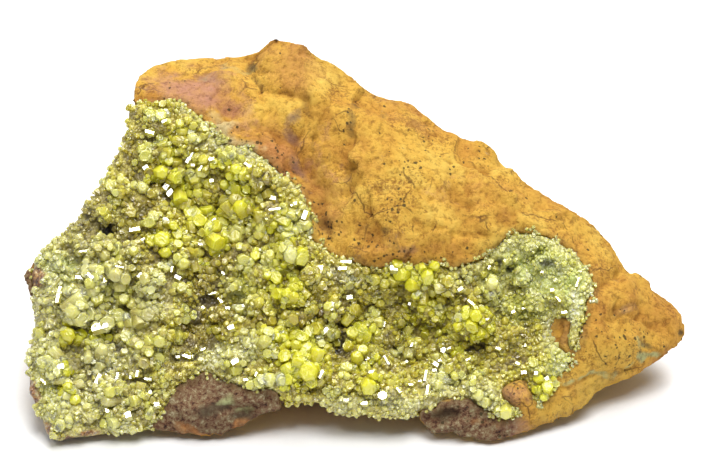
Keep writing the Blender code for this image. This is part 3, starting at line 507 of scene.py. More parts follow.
def mark_crust(made, seen, rim, sunken):
    """Stores where a point of the crust is golden, minty, pale, brownish or coarse, with painted shade added
    where it is sunken.
    """
    smoke_and_shade = patches(seen, SMOKY_PLACES)
    golden = patches(seen, GOLDEN_CLUSTERS)
    # Painted shade: sunken places are made less golden and less pale.
    stored(made, "golden", golden * (1 - 0.7 * sunken))
    stored(made, "minty", patches(seen, MINTY_PLACES))
    pale = np.maximum(patches(seen, PALE_PLACES + PALE_SIDE), 0.7 * rim)
    stored(made, "pale", pale * (1 - 0.6 * sunken))
    # Painted shade: sunken places also get the brownish mark, so they come out darker and browner.
    smoke_with_sunken_shade = np.clip(0.65 * smoke_and_shade + sunken * (0.6 + 0.4 * smoke_and_shade), 0, 1)
    stored(made, "smoke_and_shade", smoke_with_sunken_shade * (1 - 0.7 * rim) * (1 - 0.4 * golden))
    stored(made, "coarse", patches(seen, COARSE_PLACES) * (1 - 0.8 * rim) * (1 - 0.7 * sunken))


druse_places = warped(druse_seen, druse_points, 0.8)
ragged = 1.0 + 1.2 * relief(druse_points, 4.0, 60)
rim = 0.8 * (1 - smoothstep(to_rock, 0.6 * ragged, 2.0 * ragged)) * (facing > -0.2)
rim *= patches(druse_places, RIM_PLACES)
snapped = smoothstep(patches(druse_places, SNAPPED_PLACES), 0.3, 0.6)
mark_crust(druse, druse_places, rim, sunken)
stored(druse, "cavity", cavity)
by_rock = 1 - smoothstep(to_rock, 1.0, 2.5)
grows = smoothstep(facing + 0.35 * by_rock, 0.05, 0.35) * (1 - 0.5 * sunken) * (1 - 0.45 * rim)
grows *= 1 - snapped
grows *= 1 - 0.9 * smoothstep(cavity, 0.2, 0.6)
stored(druse, "grows", grows)
stored(druse, "broken", np.maximum(1 - smoothstep(facing, -0.5, -0.1), snapped))

# The crust's edge frays onto the rock, where fine crystals stand in ragged clumps.
FRINGE_WIDTH, FRINGE_CLUMPS = 0.7, 1.7
reach = FRINGE_WIDTH + FRINGE_CLUMPS * relief(rock_points, 2.4, 70)
frayed = smoothstep(reach - to_crust, 0.0, 0.15) * in_front
frayed *= 1 - smoothstep(patches(rock_seen, STAYS_BARE), 0.2, 0.5)
for k in np.nonzero(frayed)[0]:
    under_crust = crust_surface.ray_cast(Vector(rock_points[k]), Vector(rock_normals[k]), 5 * MM)[0]
    frayed[k] *= under_crust is None
# The fringe counts as partly on the rim and partly sunken, so its crystals get some painted shade.
mark_crust(rock, rock_places, np.full(len(rock_points), 0.6), np.full(len(rock_points), 0.3))
stored(rock, "grows", frayed)
print("rock points with a fringe:", np.count_nonzero(frayed))
druse.data.shade_smooth()
print("druse bed:", len(druse.data.polygons), "faces")

# %% [markdown]
# ## The crystals' forms
# Pyromorphite grows as stubby six-sided barrels with a flat end. Many ends have a narrow bevel, some
# are cupped because their rims grew faster, and nearly all are worn soft. The big ones get worn edges,
# which catch the light as thin lines. The small ones are plainer, because there are thousands of them.

# %% Crystal forms
# Each ring of a form is its height and radius, as shares of the crystal's length and half width.
WORN_FORMS = {
    "barrel": [(0, 0.88), (0.72, 1.0), (1.0, 0.84)],
    "flat end": [(0, 0.92), (0.9, 1.0), (1.0, 0.93)],
    "cupped end": [(0, 0.9), (1.0, 0.98), (0.9, 0.6)],
    "bevelled": [(0, 0.92), (0.66, 1.0), (1.0, 0.62)],
}
PLAIN_FORMS = {
    "small barrel": [(0, 0.8), (0.75, 1.0), (1.0, 0.8)],
    "small prism": [(0, 0.95), (1.0, 1.0)],
    "small point": [(0, 0.9), (0.7, 1.0), (1.0, 0.45)],
}


def crystal_form(name, rings, chance, wear):
    """A closed six-sided crystal, one unit long and one unit in radius, with uneven sides and worn edges."""
    shape = bmesh.new()
    uneven = [chance.uniform(0.9, 1.08) if chance else 1.0 for _ in range(6)]
    levels = []
    for level, radius in rings:
        corners = []
        for k in range(6):
            angle = (k + 0.5) * math.pi / 3
            reach = radius * uneven[k]
            corners.append(shape.verts.new((reach * math.cos(angle), reach * math.sin(angle), level)))
        levels.append(corners)
    for below, above in zip(levels, levels[1:]):
        for k in range(6):
            shape.faces.new((below[k - 1], below[k], above[k], above[k - 1]))
    shape.faces.new(levels[-1])
    shape.faces.new(reversed(levels[0]))
    bmesh.ops.recalc_face_normals(shape, faces=shape.faces)
    if wear:
        exposed = [e for e in shape.edges
                   if abs(e.verts[0].co.z - e.verts[1].co.z) > 0.01 or e.verts[0].co.z > 0.8]
        made = bmesh.ops.bevel(shape, geom=exposed, offset=wear, segments=1, affect="EDGES",
                               clamp_overlap=True)
        for face in made["faces"]:
            face.smooth = True
    height = shape.verts.layers.float.new("along")
    for corner in shape.verts:
        corner[height] = corner.co.z
    mesh = bpy.data.meshes.new(name)
    shape.to_mesh(mesh)
    shape.free()
    return bpy.data.objects.new(name, mesh)


def form_collection(name, forms, chance, wear):
    """A collection of forms for the growing tree to pick from."""
    made = bpy.data.collections.new(name)
    for form, rings in forms.items():
        crystal = crystal_form(form, rings, chance, wear)
        made.objects.link(crystal)
        print(f"{form}: {len(crystal.data.polygons)} faces")
    return made


form_chance = random.Random(5)
worn_forms = form_collection("worn forms", WORN_FORMS, form_chance, 0.1)
plain_forms = form_collection("plain forms", PLAIN_FORMS, form_chance, 0)
clean_forms = form_collection("clean forms", {"clean prism": [(0, 1.0), (1.0, 1.0)]}, None, 0)

# %% [markdown]
# ## Growing them
# Geometry Nodes set crystals on a surface: points are scattered over it no closer than a spacing, and each
# gets one of the forms, stood along the surface's normal with a random lean and turn. The same tree also
# takes points that already know their size and direction, for the crystals placed one by one.
# Most grow on the druse bed, and a fringe of the finest on the rock along the crust's edge. A loop
# could place them as well, but these nodes keep the crystals apart for us, and fast.

# %% Helper that adds a node


def add(tree, kind, inputs=None, stops=None, **settings):
    """Adds a node with its settings. An input takes a value, a socket, or a node's first output."""
    node = tree.nodes.new(kind)
    for name, value in settings.items():
        setattr(node, name, value)
    for key, value in (inputs or {}).items():
        usable = [socket for socket in node.inputs if socket.enabled]
        target = usable[key] if isinstance(key, int) else next(s for s in usable if s.name == key)
        if isinstance(value, bpy.types.Node):
            value = next(socket for socket in value.outputs if socket.enabled)
        if isinstance(value, bpy.types.NodeSocket):
            tree.links.new(value, target)
        else:
            target.default_value = value
    if stops:
        elements = node.color_ramp.elements
        for _ in range(len(stops) - len(elements)):
            elements.new(1)
        for element, (place, colour) in zip(elements, stops):
            element.position = place
            element.color = linear(colour)
    return node


def linear(colour):
    """An sRGB hex colour as the linear colour that a socket takes."""
    shares = [int(colour[k:k + 2], 16) / 255 for k in (1, 3, 5)]
    return (*[s / 12.92 if s <= 0.04045 else ((s + 0.055) / 1.055) ** 2.4 for s in shares], 1)


# %% The growing tree
# How much of a scattered crystal's length is under the surface.
ROOTED_SHARE = 0.5
# Twelve picks share out evenly, whether there are three forms or four.
FORM_PICKS = 12


def growing_tree():
    """Geometry Nodes that grow crystals on a surface, or on given points."""
    tree = bpy.data.node_groups.new("grow crystals", "GeometryNodeTree")
    tree.interface.new_socket("Geometry", in_out="OUTPUT", socket_type="NodeSocketGeometry")
    tree.interface.new_socket("Surface", in_out="INPUT", socket_type="NodeSocketGeometry")
    for name, kind in (
        ("Forms", "Collection"), ("Spacing", "Float"), ("Density", "Float"), ("Smallest width", "Float"),
        ("Largest width", "Float"), ("Stubbiness", "Float"), ("Lean", "Float"), ("Points given", "Bool"),
        ("Seed", "Int"), ("Finish", "Material"),
    ):
        tree.interface.new_socket(name, in_out="INPUT", socket_type=f"NodeSocket{kind}")
    given = add(tree, "NodeGroupInput").outputs
    seed = given["Seed"]

    def chance(shift, kind="FLOAT", low=0.0, high=1.0):
        seeds = add(tree, "ShaderNodeMath", {0: seed, 1: float(shift)}, operation="ADD")
        return add(tree, "FunctionNodeRandomValue", {"Min": low, "Max": high, "Seed": seeds},
                   data_type=kind)

    def marked(name, kind="FLOAT"):
        return add(tree, "GeometryNodeInputNamedAttribute", {"Name": name}, data_type=kind)

    scatter = add(
        tree, "GeometryNodeDistributePointsOnFaces",
        {"Mesh": given["Surface"], "Distance Min": given["Spacing"], "Density Max": given["Density"],
         "Density Factor": marked("grows"), "Seed": seed},
        distribute_method="POISSON",
    )
    as_points = add(tree, "GeometryNodeMeshToPoints", {"Mesh": given["Surface"]})

    def either(kind, scattered, placed):
        return add(tree, "GeometryNodeSwitch", {"Switch": given["Points given"], "False": scattered,
                                                "True": placed}, input_type=kind)

    # A scattered crystal stands along the normal, leaned and turned by chance. A placed one knows its way.
    sideways = chance(1, "FLOAT_VECTOR", (-1, -1, -1), (1, 1, 1))
    sway = add(tree, "ShaderNodeVectorMath", {0: sideways, "Scale": given["Lean"]}, operation="SCALE")
    leaned = add(tree, "ShaderNodeVectorMath", {0: scatter.outputs["Normal"], 1: sway}, operation="ADD")
    axis = either("VECTOR", leaned, marked("axis", "FLOAT_VECTOR"))
    side = either("VECTOR", chance(2, "FLOAT_VECTOR", (-1, -1, -1), (1, 1, 1)),
                  marked("side", "FLOAT_VECTOR"))
    stood = add(tree, "FunctionNodeAlignRotationToVector", {"Vector": axis}, axis="Z")
    turned = add(tree, "FunctionNodeAlignRotationToVector", {"Rotation": stood, "Vector": side}, axis="X",
                 pivot_axis="Z")

    # A scattered crystal's width leans towards the smallest, and more so where the crust isn't coarse.
    share = add(tree, "ShaderNodeMath", {0: chance(3), 1: 1.2}, operation="POWER")
    grown = add(tree, "ShaderNodeMath", {0: share, 1: marked("coarse")}, operation="MULTIPLY")
    range_of = add(tree, "ShaderNodeMath", {0: given["Largest width"], 1: given["Smallest width"]},
                   operation="SUBTRACT")
    drawn = add(tree, "ShaderNodeMath", {0: grown, 1: range_of, 2: given["Smallest width"]},
                operation="MULTIPLY_ADD")
    stretched = add(tree, "ShaderNodeMath", {0: drawn, 1: given["Stubbiness"]}, operation="MULTIPLY")
    stretched = add(tree, "ShaderNodeMath", {0: stretched, 1: chance(4, low=0.65, high=1.5)},
                    operation="MULTIPLY")
    width = either("FLOAT", drawn, marked("width"))
    length = either("FLOAT", stretched, marked("length"))
    radius = add(tree, "ShaderNodeMath", {0: width, 1: math.sqrt(3)}, operation="DIVIDE")
    flattened = add(tree, "ShaderNodeMath", {0: radius, 1: chance(5, low=0.75, high=1.1)},
                    operation="MULTIPLY")
    size = add(tree, "ShaderNodeCombineXYZ", {"X": radius, "Y": flattened, "Z": length})

    # Each scattered crystal is rooted a little below the surface.
    root = add(tree, "ShaderNodeMath", {0: stretched, 1: -ROOTED_SHARE}, operation="MULTIPLY")
    upright = add(tree, "ShaderNodeVectorMath", {0: leaned}, operation="NORMALIZE")
    sunk = add(tree, "ShaderNodeVectorMath", {0: upright, "Scale": root}, operation="SCALE")
    lowered = add(tree, "GeometryNodeSetPosition", {"Geometry": scatter, "Offset": sunk})
    rooted = either("GEOMETRY", lowered, as_points)
    forms = add(tree, "GeometryNodeCollectionInfo",
                {"Collection": given["Forms"], "Separate Children": True, "Reset Children": True})
    crystals = add(
        tree, "GeometryNodeInstanceOnPoints",
        {"Points": rooted, "Instance": forms, "Pick Instance": True, "Rotation": turned, "Scale": size,
         "Instance Index": chance(6, "INT", 0, FORM_PICKS - 1)},
    )
    toned = add(tree, "GeometryNodeStoreNamedAttribute",
                {"Geometry": crystals, "Name": "tone", "Value": chance(7)},
                data_type="FLOAT", domain="INSTANCE")
    whole = add(tree, "GeometryNodeRealizeInstances", {"Geometry": toned})
    finished = add(tree, "GeometryNodeSetMaterial", {"Geometry": whole, "Material": given["Finish"]})
    add(tree, "NodeGroupOutput", {"Geometry": finished})
    return tree


grow = growing_tree()
print("growing tree:", len(grow.nodes), "nodes")


def grown_on(name, mesh, **settings):
    """Grows crystals on a mesh's faces or points, as a plain mesh of their own."""
    made = bpy.data.objects.new(name, mesh.copy())
    bpy.context.scene.collection.objects.link(made)
    growing = made.modifiers.new("growing", "NODES")
    growing.node_group = grow
    identifiers = {item.name: item.identifier for item in grow.interface.items_tree
                   if item.in_out == "INPUT"}
    for key, value in settings.items():
        growing[identifiers[key.replace("_", " ").capitalize()]] = value
    applied(made)
    moved_skin(made, skin_of(made)[0])
    print(name + ":", len(made.data.polygons), "faces")
    return made


# %% [markdown]
# ## The crystal's finish
# Pyromorphite is a waxy, resinous, see-through lead mineral. It bends light nearly as much as
# diamond, so a flat face that meets a lamp flashes white. Inside it is cloudy: light goes in, gathers a
# yellow-green tint and comes out beside where it entered. Subsurface scattering gives that glow,
# some transmission keeps the edges clear, and the high IOR gives the flash. Real faces are faintly
# etched, so a soft bump breaks up their shine. The faces that mirror the lamp are fresh and smoother.
# Plain glass would look empty here, and a matt paint would look like plaster.

# %% Crystal material
CRYSTAL_IOR = 2.05
# How far light spreads inside a crystal, in millimetres, and how much of that each colour of it does.
BODY_GLOW = 1.1
GLOW_COLOURS = (1.0, 0.95, 0.3)


def attribute(tree, name):
    """A number stored on the mesh, as a socket."""
    return add(tree, "ShaderNodeAttribute", attribute_name=name).outputs["Fac"]


def scale_for(size):
    """A texture's scale for features of this size in millimetres."""
    return 1 / (size * MM)


def mixed(tree, factor, first, second, blend="MIX"):
    """Two colours mixed, the second laid over the first."""
    return add(tree, "ShaderNodeMix", {"Factor": factor, "A": first, "B": second}, data_type="RGBA",
               blend_type=blend)


def new_material(name):
    """A new material, its node tree, and the place on the object as a socket."""
    material = bpy.data.materials.new(name)
    material.use_nodes = True
    tree = material.node_tree
    return material, tree, add(tree, "ShaderNodeTexCoord").outputs["Object"]


def surfaced(material, body, bump, values):
    """Gives the material's shader its colour, its bump and its values, and returns the material."""
    links = material.node_tree.links
    shader = material.node_tree.nodes["Principled BSDF"]
    links.new(next(socket for socket in body.outputs if socket.enabled), shader.inputs["Base Color"])
    if bump:
        links.new(bump.outputs["Normal"], shader.inputs["Normal"])
    for name, value in values.items():
        shader.inputs[name].default_value = value
    return material


def crystal_material(name, roughness, shine, etching):
    """Waxy, cloudy pyromorphite."""
    material, tree, place = new_material(name)

    # Each crystal has a tone of its own, and neighbours share part of it.
    shared = add(tree, "ShaderNodeTexNoise", {"Vector": place, "Scale": scale_for(4.5), "Detail": 2.0})
    spread = add(tree, "ShaderNodeMapRange", {"Value": shared, "From Min": 0.35, "From Max": 0.65})
    tone = add(tree, "ShaderNodeMix", {"Factor": 0.55, "A": attribute(tree, "tone"), "B": spread},
               data_type="FLOAT")
    olive = add(tree, "ShaderNodeValToRGB", {"Fac": tone},
                stops=[(0, "#8E7C2C"), (0.3, "#C2B23C"), (0.65, "#E2D656"), (1, "#F2EE9E")])
    gold = add(tree, "ShaderNodeValToRGB", {"Fac": tone},
               stops=[(0, "#DCD420"), (0.5, "#F0EA2C"), (1, "#FFFA58")])
    mint = add(tree, "ShaderNodeValToRGB", {"Fac": tone},
               stops=[(0, "#DEE868"), (0.5, "#F4FA84"), (1, "#FCFFB8")])
    shade_and_smoke_ramp = add(tree, "ShaderNodeValToRGB", {"Fac": tone},
                stops=[(0, "#745C28"), (0.5, "#A8963E"), (1, "#D2C65A")])
    # The brownish tone is partly the crystals' own colour and partly painted shade in the crust's sunken
    # places.
    body = mixed(tree, attribute(tree, "smoke_and_shade"), olive, shade_and_smoke_ramp)
    body = mixed(tree, attribute(tree, "golden"), body, gold)
    body = mixed(tree, attribute(tree, "minty"), body, mint)
    body = mixed(tree, attribute(tree, "pale"), body, linear("#F6F4B0"))

    # Clouds in the crystal, less than a millimetre across, and painted shade that darkens each crystal
    # towards its root, in the gaps between crystals.
    clouds = add(tree, "ShaderNodeTexNoise", {"Vector": place, "Scale": scale_for(0.7), "Detail": 3.0})
    veiled = add(tree, "ShaderNodeMapRange", {"Value": clouds, "From Min": 0.45, "From Max": 0.75,
                                              "To Max": 0.35})
    body = mixed(tree, veiled, body, linear("#E8DF7C"))
    root = add(tree, "ShaderNodeMapRange", {"Value": attribute(tree, "along"), "From Min": 0.8,
                                            "From Max": 0.2, "To Max": 0.5})
    body = mixed(tree, root, body, linear("#A89448"), "MULTIPLY")

    etched = add(tree, "ShaderNodeTexNoise", {"Vector": place, "Scale": scale_for(0.5), "Detail": 2.0})
    bump = add(tree, "ShaderNodeBump", {"Height": etched, "Distance": etching * MM, "Strength": 1.0})
    return surfaced(material, body, bump, {
        "Roughness": roughness, "IOR": CRYSTAL_IOR, "Specular IOR Level": shine,
        "Transmission Weight": 0.3, "Subsurface Weight": 0.8,
        "Subsurface Radius": GLOW_COLOURS, "Subsurface Scale": BODY_GLOW * MM,
    })


crystal_finish = crystal_material("waxy pyromorphite", 0.2, 0.35, 0.25)
fresh_finish = crystal_material("fresh pyromorphite faces", 0.08, 0.5, 0.02)
print("crystal finishes:", crystal_finish.name, "and", fresh_finish.name)

# %% [markdown]
# ## Crystals placed one by one
# The largest crystals give the crust its pattern from a step away, so they are placed one by one:
# across, up and width in millimetres, as the viewer sees them, and a letter for their colour. Each has
# three to five smaller neighbours grown into it, as the real ones have, and all of a bunch lean alike.

# %% Where the large crystals stand
# Colours: g golden, l lime, o olive, p pale.
LARGE_CRYSTALS = [
    # upper lobe
    (-32.2, 19.8, 2.4, "l"), (-34, 20.2, 1.9, "l"), (-27.3, 16.2, 2, "p"), (-31.8, 15, 2.6, "l"),
    (-30.8, 14, 2.2, "g"), (-32.2, 10.7, 3.2, "g"), (-33.6, 10.2, 2, "g"), (-29, 6.7, 3, "g"),
    (-35, 13.4, 2.4, "l"), (-21.3, 13.3, 2.4, "l"), (-19.7, 11.2, 2.5, "g"), (-22.2, 11.8, 2.1, "g"),
    (-19, 8, 2.8, "g"), (-18.3, 6.5, 2.5, "g"), (-21.3, 8.3, 2.2, "g"), (-26.3, 9.3, 2.4, "o"),
    (-18.7, 4.3, 2.8, "g"), (-21.7, 6, 2, "o"), (-16, 6, 1.8, "o"), (-35.3, 8, 2.3, "p"),
    (-33.7, 2.3, 2.5, "l"), (-32, -0.7, 3, "g"), (-29.6, 0.3, 2.8, "g"), (-28, -1, 2, "o"),
    (-25.3, 2.3, 3, "g"), (-24.5, 3.6, 2.4, "g"), (-22.3, 2.3, 2.1, "g"), (-23.3, -0.7, 3.1, "g"),
    (-19.6, -0.3, 2.5, "o"), (-19, 1.4, 2.7, "o"), (-15.7, 1.4, 2.2, "l"), (-10.7, 1, 2.5, "l"),
    (-8.4, 2, 2.2, "l"), (-12.3, 3, 2.7, "g"), (-10.3, 3.8, 2.2, "l"), (-11.2, -0.6, 2.5, "l"),
    (-40.5, 8.2, 2.3, "l"), (-39.3, 5.7, 1.9, "o"), (-41.3, 3.7, 1.9, "o"),
    # left lobe and hump
    (-39.3, -2.6, 2.3, "l"), (-36.7, -2.7, 2, "o"), (-42.7, -5.8, 2, "l"), (-43.7, -8, 2.5, "l"),
    (-41, -8.7, 1.8, "l"), (-43, -10.8, 2.8, "l"), (-46.7, -12.7, 2.7, "p"), (-38.3, -10.6, 2, "l"),
    (-39, -13.2, 2.7, "l"), (-28.7, -8.8, 2, "l"), (-28.3, -4.6, 2.3, "l"), (-28.3, -13.6, 2.2, "l"),
    (-32.3, -7, 1.8, "p"), (-33.8, -9, 1.8, "p"), (-31.5, -5.4, 1.7, "p"), (-47.7, -16.7, 2.9, "g"),
    (-52, -16, 2, "l"), (-42.3, -16.8, 2.7, "g"), (-44.2, -18, 2, "l"), (-38, -17, 2.3, "l"),
    (-51.6, -21.3, 2.3, "l"), (-48.3, -22.7, 2.2, "g"), (-48.3, -26.7, 2.9, "g"), (-34.3, -18, 2.6, "l"),
    (-32.3, -17.3, 2.3, "l"), (-29.4, -16.7, 2.6, "o"), (-32.3, -20.2, 2, "l"), (-31.7, -23.7, 1.7, "o"),
    (-41, -26, 2.1, "l"), (-38.3, -25.7, 1.8, "l"), (-36.3, -27.3, 2.1, "l"), (-34.3, -29, 2.2, "l"),
    (-39.7, -31, 2.4, "l"), (-48.6, -31.4, 2.5, "p"),
    # middle
    (-18.7, -3.7, 2.5, "l"), (-16.8, -3.7, 2, "g"), (-10.7, -3.2, 2.8, "p"), (-9, -2.7, 2.1, "g"),
    (-13.7, -3.5, 2.6, "o"), (-25.8, -4.5, 1.8, "g"), (-12.7, -7.3, 2.7, "g"), (-10, -7.7, 2.3, "g"),
    (-12, -9.7, 2.8, "g"), (-16, -11.3, 2.4, "o"), (-14.6, -12, 1.9, "o"), (-19, -12.7, 2.2, "p"),
    (-6.7, -12, 1.8, "o"), (-4, -12, 2, "l"), (-9, -10.8, 1.6, "o"), (-12, -14.8, 2.5, "l"),
    (-9, -16.4, 2.4, "g"), (-15, -17.8, 3.1, "l"), (-11.7, -17.2, 2.3, "g"), (-9.7, -18.2, 2.4, "g"),
    (-5.6, -18, 1.7, "l"), (-4.2, -16, 2, "l"), (-3.4, -18, 1.9, "o"), (-7.4, -16.2, 2.1, "g"),
    (-7.3, -22.8, 3.4, "g"), (-9, -21, 2.6, "g"), (-10.7, -24, 2.3, "g"), (-14, -24, 3.1, "l"),
    (-15.8, -24.4, 2.3, "l"), (-20, -22, 2.3, "l"), (0.6, -20.6, 2.6, "g"), (2, -16.5, 2.5, "g"),
    (-1.5, -22.8, 2.3, "l"), (2.3, -24.9, 2.8, "g"), (-3.3, -26.3, 1.9, "l"), (3.8, -20.4, 1.7, "g"),
    (5.9, -24.7, 1.9, "o"), (-13, -19.4, 1.7, "p"), (-22.8, -15.6, 2.3, "o"),
    # right bowl
    (8.4, -6.3, 2.8, "g"), (10, -8.3, 2.4, "g"), (6.2, -7.8, 2.7, "o"), (11.9, -6.3, 2.9, "g"),
    (3.7, -7.2, 2.1, "o"), (19.2, -6.9, 1.5, "p"), (15.8, -7.3, 1.6, "p"), (19.8, -14.4, 2.8, "g"),
    (20.8, -15.8, 2.3, "g"), (18.9, -13.4, 2, "g"), (17.7, -13.5, 1.7, "p"), (14, -11.8, 1.6, "p"),
    (3.1, -13.2, 1.9, "l"), (7.7, -14.2, 1.6, "o"), (8.9, -15.8, 1.9, "o"), (8.1, -18.8, 2.3, "p"),
    (17.1, -19.3, 2, "g"), (14.6, -23.6, 2.7, "p"), (16.8, -23.2, 2, "l"), (20.7, -23.4, 1.9, "l"),
    (22.8, -8.4, 2.2, "p"), (23.4, -11, 1.7, "l"), (30.1, -21.3, 2, "l"), (31.1, -24.2, 2.1, "g"),
    (32.2, -25.6, 2.3, "g"), (25.3, -29, 2.3, "l"), (21, -26.8, 2.4, "p"), (22.3, -27.8, 2, "p"),
]
print("large crystals by hand:", len(LARGE_CRYSTALS))

# %% How a bunch of large crystals stands
COLOUR_SHARES = {
    "g": {"golden": 1.0, "pale": 0.0, "minty": 0.0, "smoke_and_shade": 0.0},
    "l": {"golden": 0.45, "pale": 0.2, "minty": 0.25, "smoke_and_shade": 0.0},
    "o": {"golden": 0.25, "pale": 0.0, "minty": 0.1, "smoke_and_shade": 0.25},
    "p": {"golden": 0.25, "pale": 0.5, "minty": 0.3, "smoke_and_shade": 0.0},
}
BUNCH_SIZES = (4, 5, 6)
# The first of a bunch and its neighbours, as shares of the listed width.
FIRST_SIZE, NEIGHBOUR_SIZES, NEIGHBOUR_REACH = 0.85, (0.4, 0.7), (0.35, 0.75)
# How far a bunch leans, how much further each of its crystals does, and how they turn to the viewer.
BUNCH_LEAN, OWN_LEAN, TOWARDS_EYE = 0.5, 0.35, 0.6
PLACED_STUBBINESS, PLACED_ROOT = (0.8, 1.25), 0.35


def place_crystals(name, crystals, forms, seed, finish):
    """Grows crystals that know their place, axis, side, width, length and colour."""
    mesh = bpy.data.meshes.new(name)
    mesh.from_pydata([crystal["place"] for crystal in crystals], [], [])
    points = bpy.data.objects.new(name + " places", mesh)
    for key in ("axis", "side"):
        direction = mesh.attributes.new(key, "FLOAT_VECTOR", "POINT")
        direction.data.foreach_set("vector", np.array([c[key] for c in crystals], np.float32).ravel())
    for key in ("width", "length", "golden", "pale", "minty", "smoke_and_shade"):
        stored(points, key, [c[key] for c in crystals])
    grown = grown_on(name, mesh, forms=forms, points_given=True, seed=seed, finish=finish)
    bpy.data.objects.remove(points)
    return grown


def crowded(listed, surface, chance):
    """Each listed crystal and the neighbours grown into it, standing on the crust."""
    crystals = []
    for across, up, width, colour in listed:
        shared = Vector([chance.uniform(-BUNCH_LEAN, BUNCH_LEAN) for _ in range(3)])
        for neighbour in range(chance.choice(BUNCH_SIZES)):
            size = width * (FIRST_SIZE if neighbour == 0 else chance.uniform(*NEIGHBOUR_SIZES))
            apart = 0 if neighbour == 0 else width * chance.uniform(*NEIGHBOUR_REACH)
            way = chance.uniform(0, 2 * math.pi)
            place, normal = met_by_eye(surface, across + apart * math.cos(way), up + apart * math.sin(way))
            if place is None:
                continue
            lean = shared + Vector([chance.uniform(-OWN_LEAN, OWN_LEAN) for _ in range(3)])
            axis = ((normal + TO_EYE * TOWARDS_EYE).normalized() + lean).normalized()
            length = size * chance.uniform(*PLACED_STUBBINESS)
            crystals.append({
                "place": place - axis * (PLACED_ROOT * length * MM), "axis": axis,
                "side": Vector([chance.uniform(-1, 1) for _ in range(3)]),
                "width": size * MM, "length": length * MM, **COLOUR_SHARES[colour],
            })
    return crystals


# %% [markdown]
# ## Bright faces
# A glossy crystal face flashes white where it mirrors a lamp to the eye. On the real crust that happens to
# more than a hundred faces: long ones are the sides of crystals that lie down, round ones are ends. Such
# crystals are placed one by one, each turned so that its face mirrors the small lamp.

# %% Where the bright faces are
GLINT_LAMP = Vector((-0.28, -0.36, 0.66))
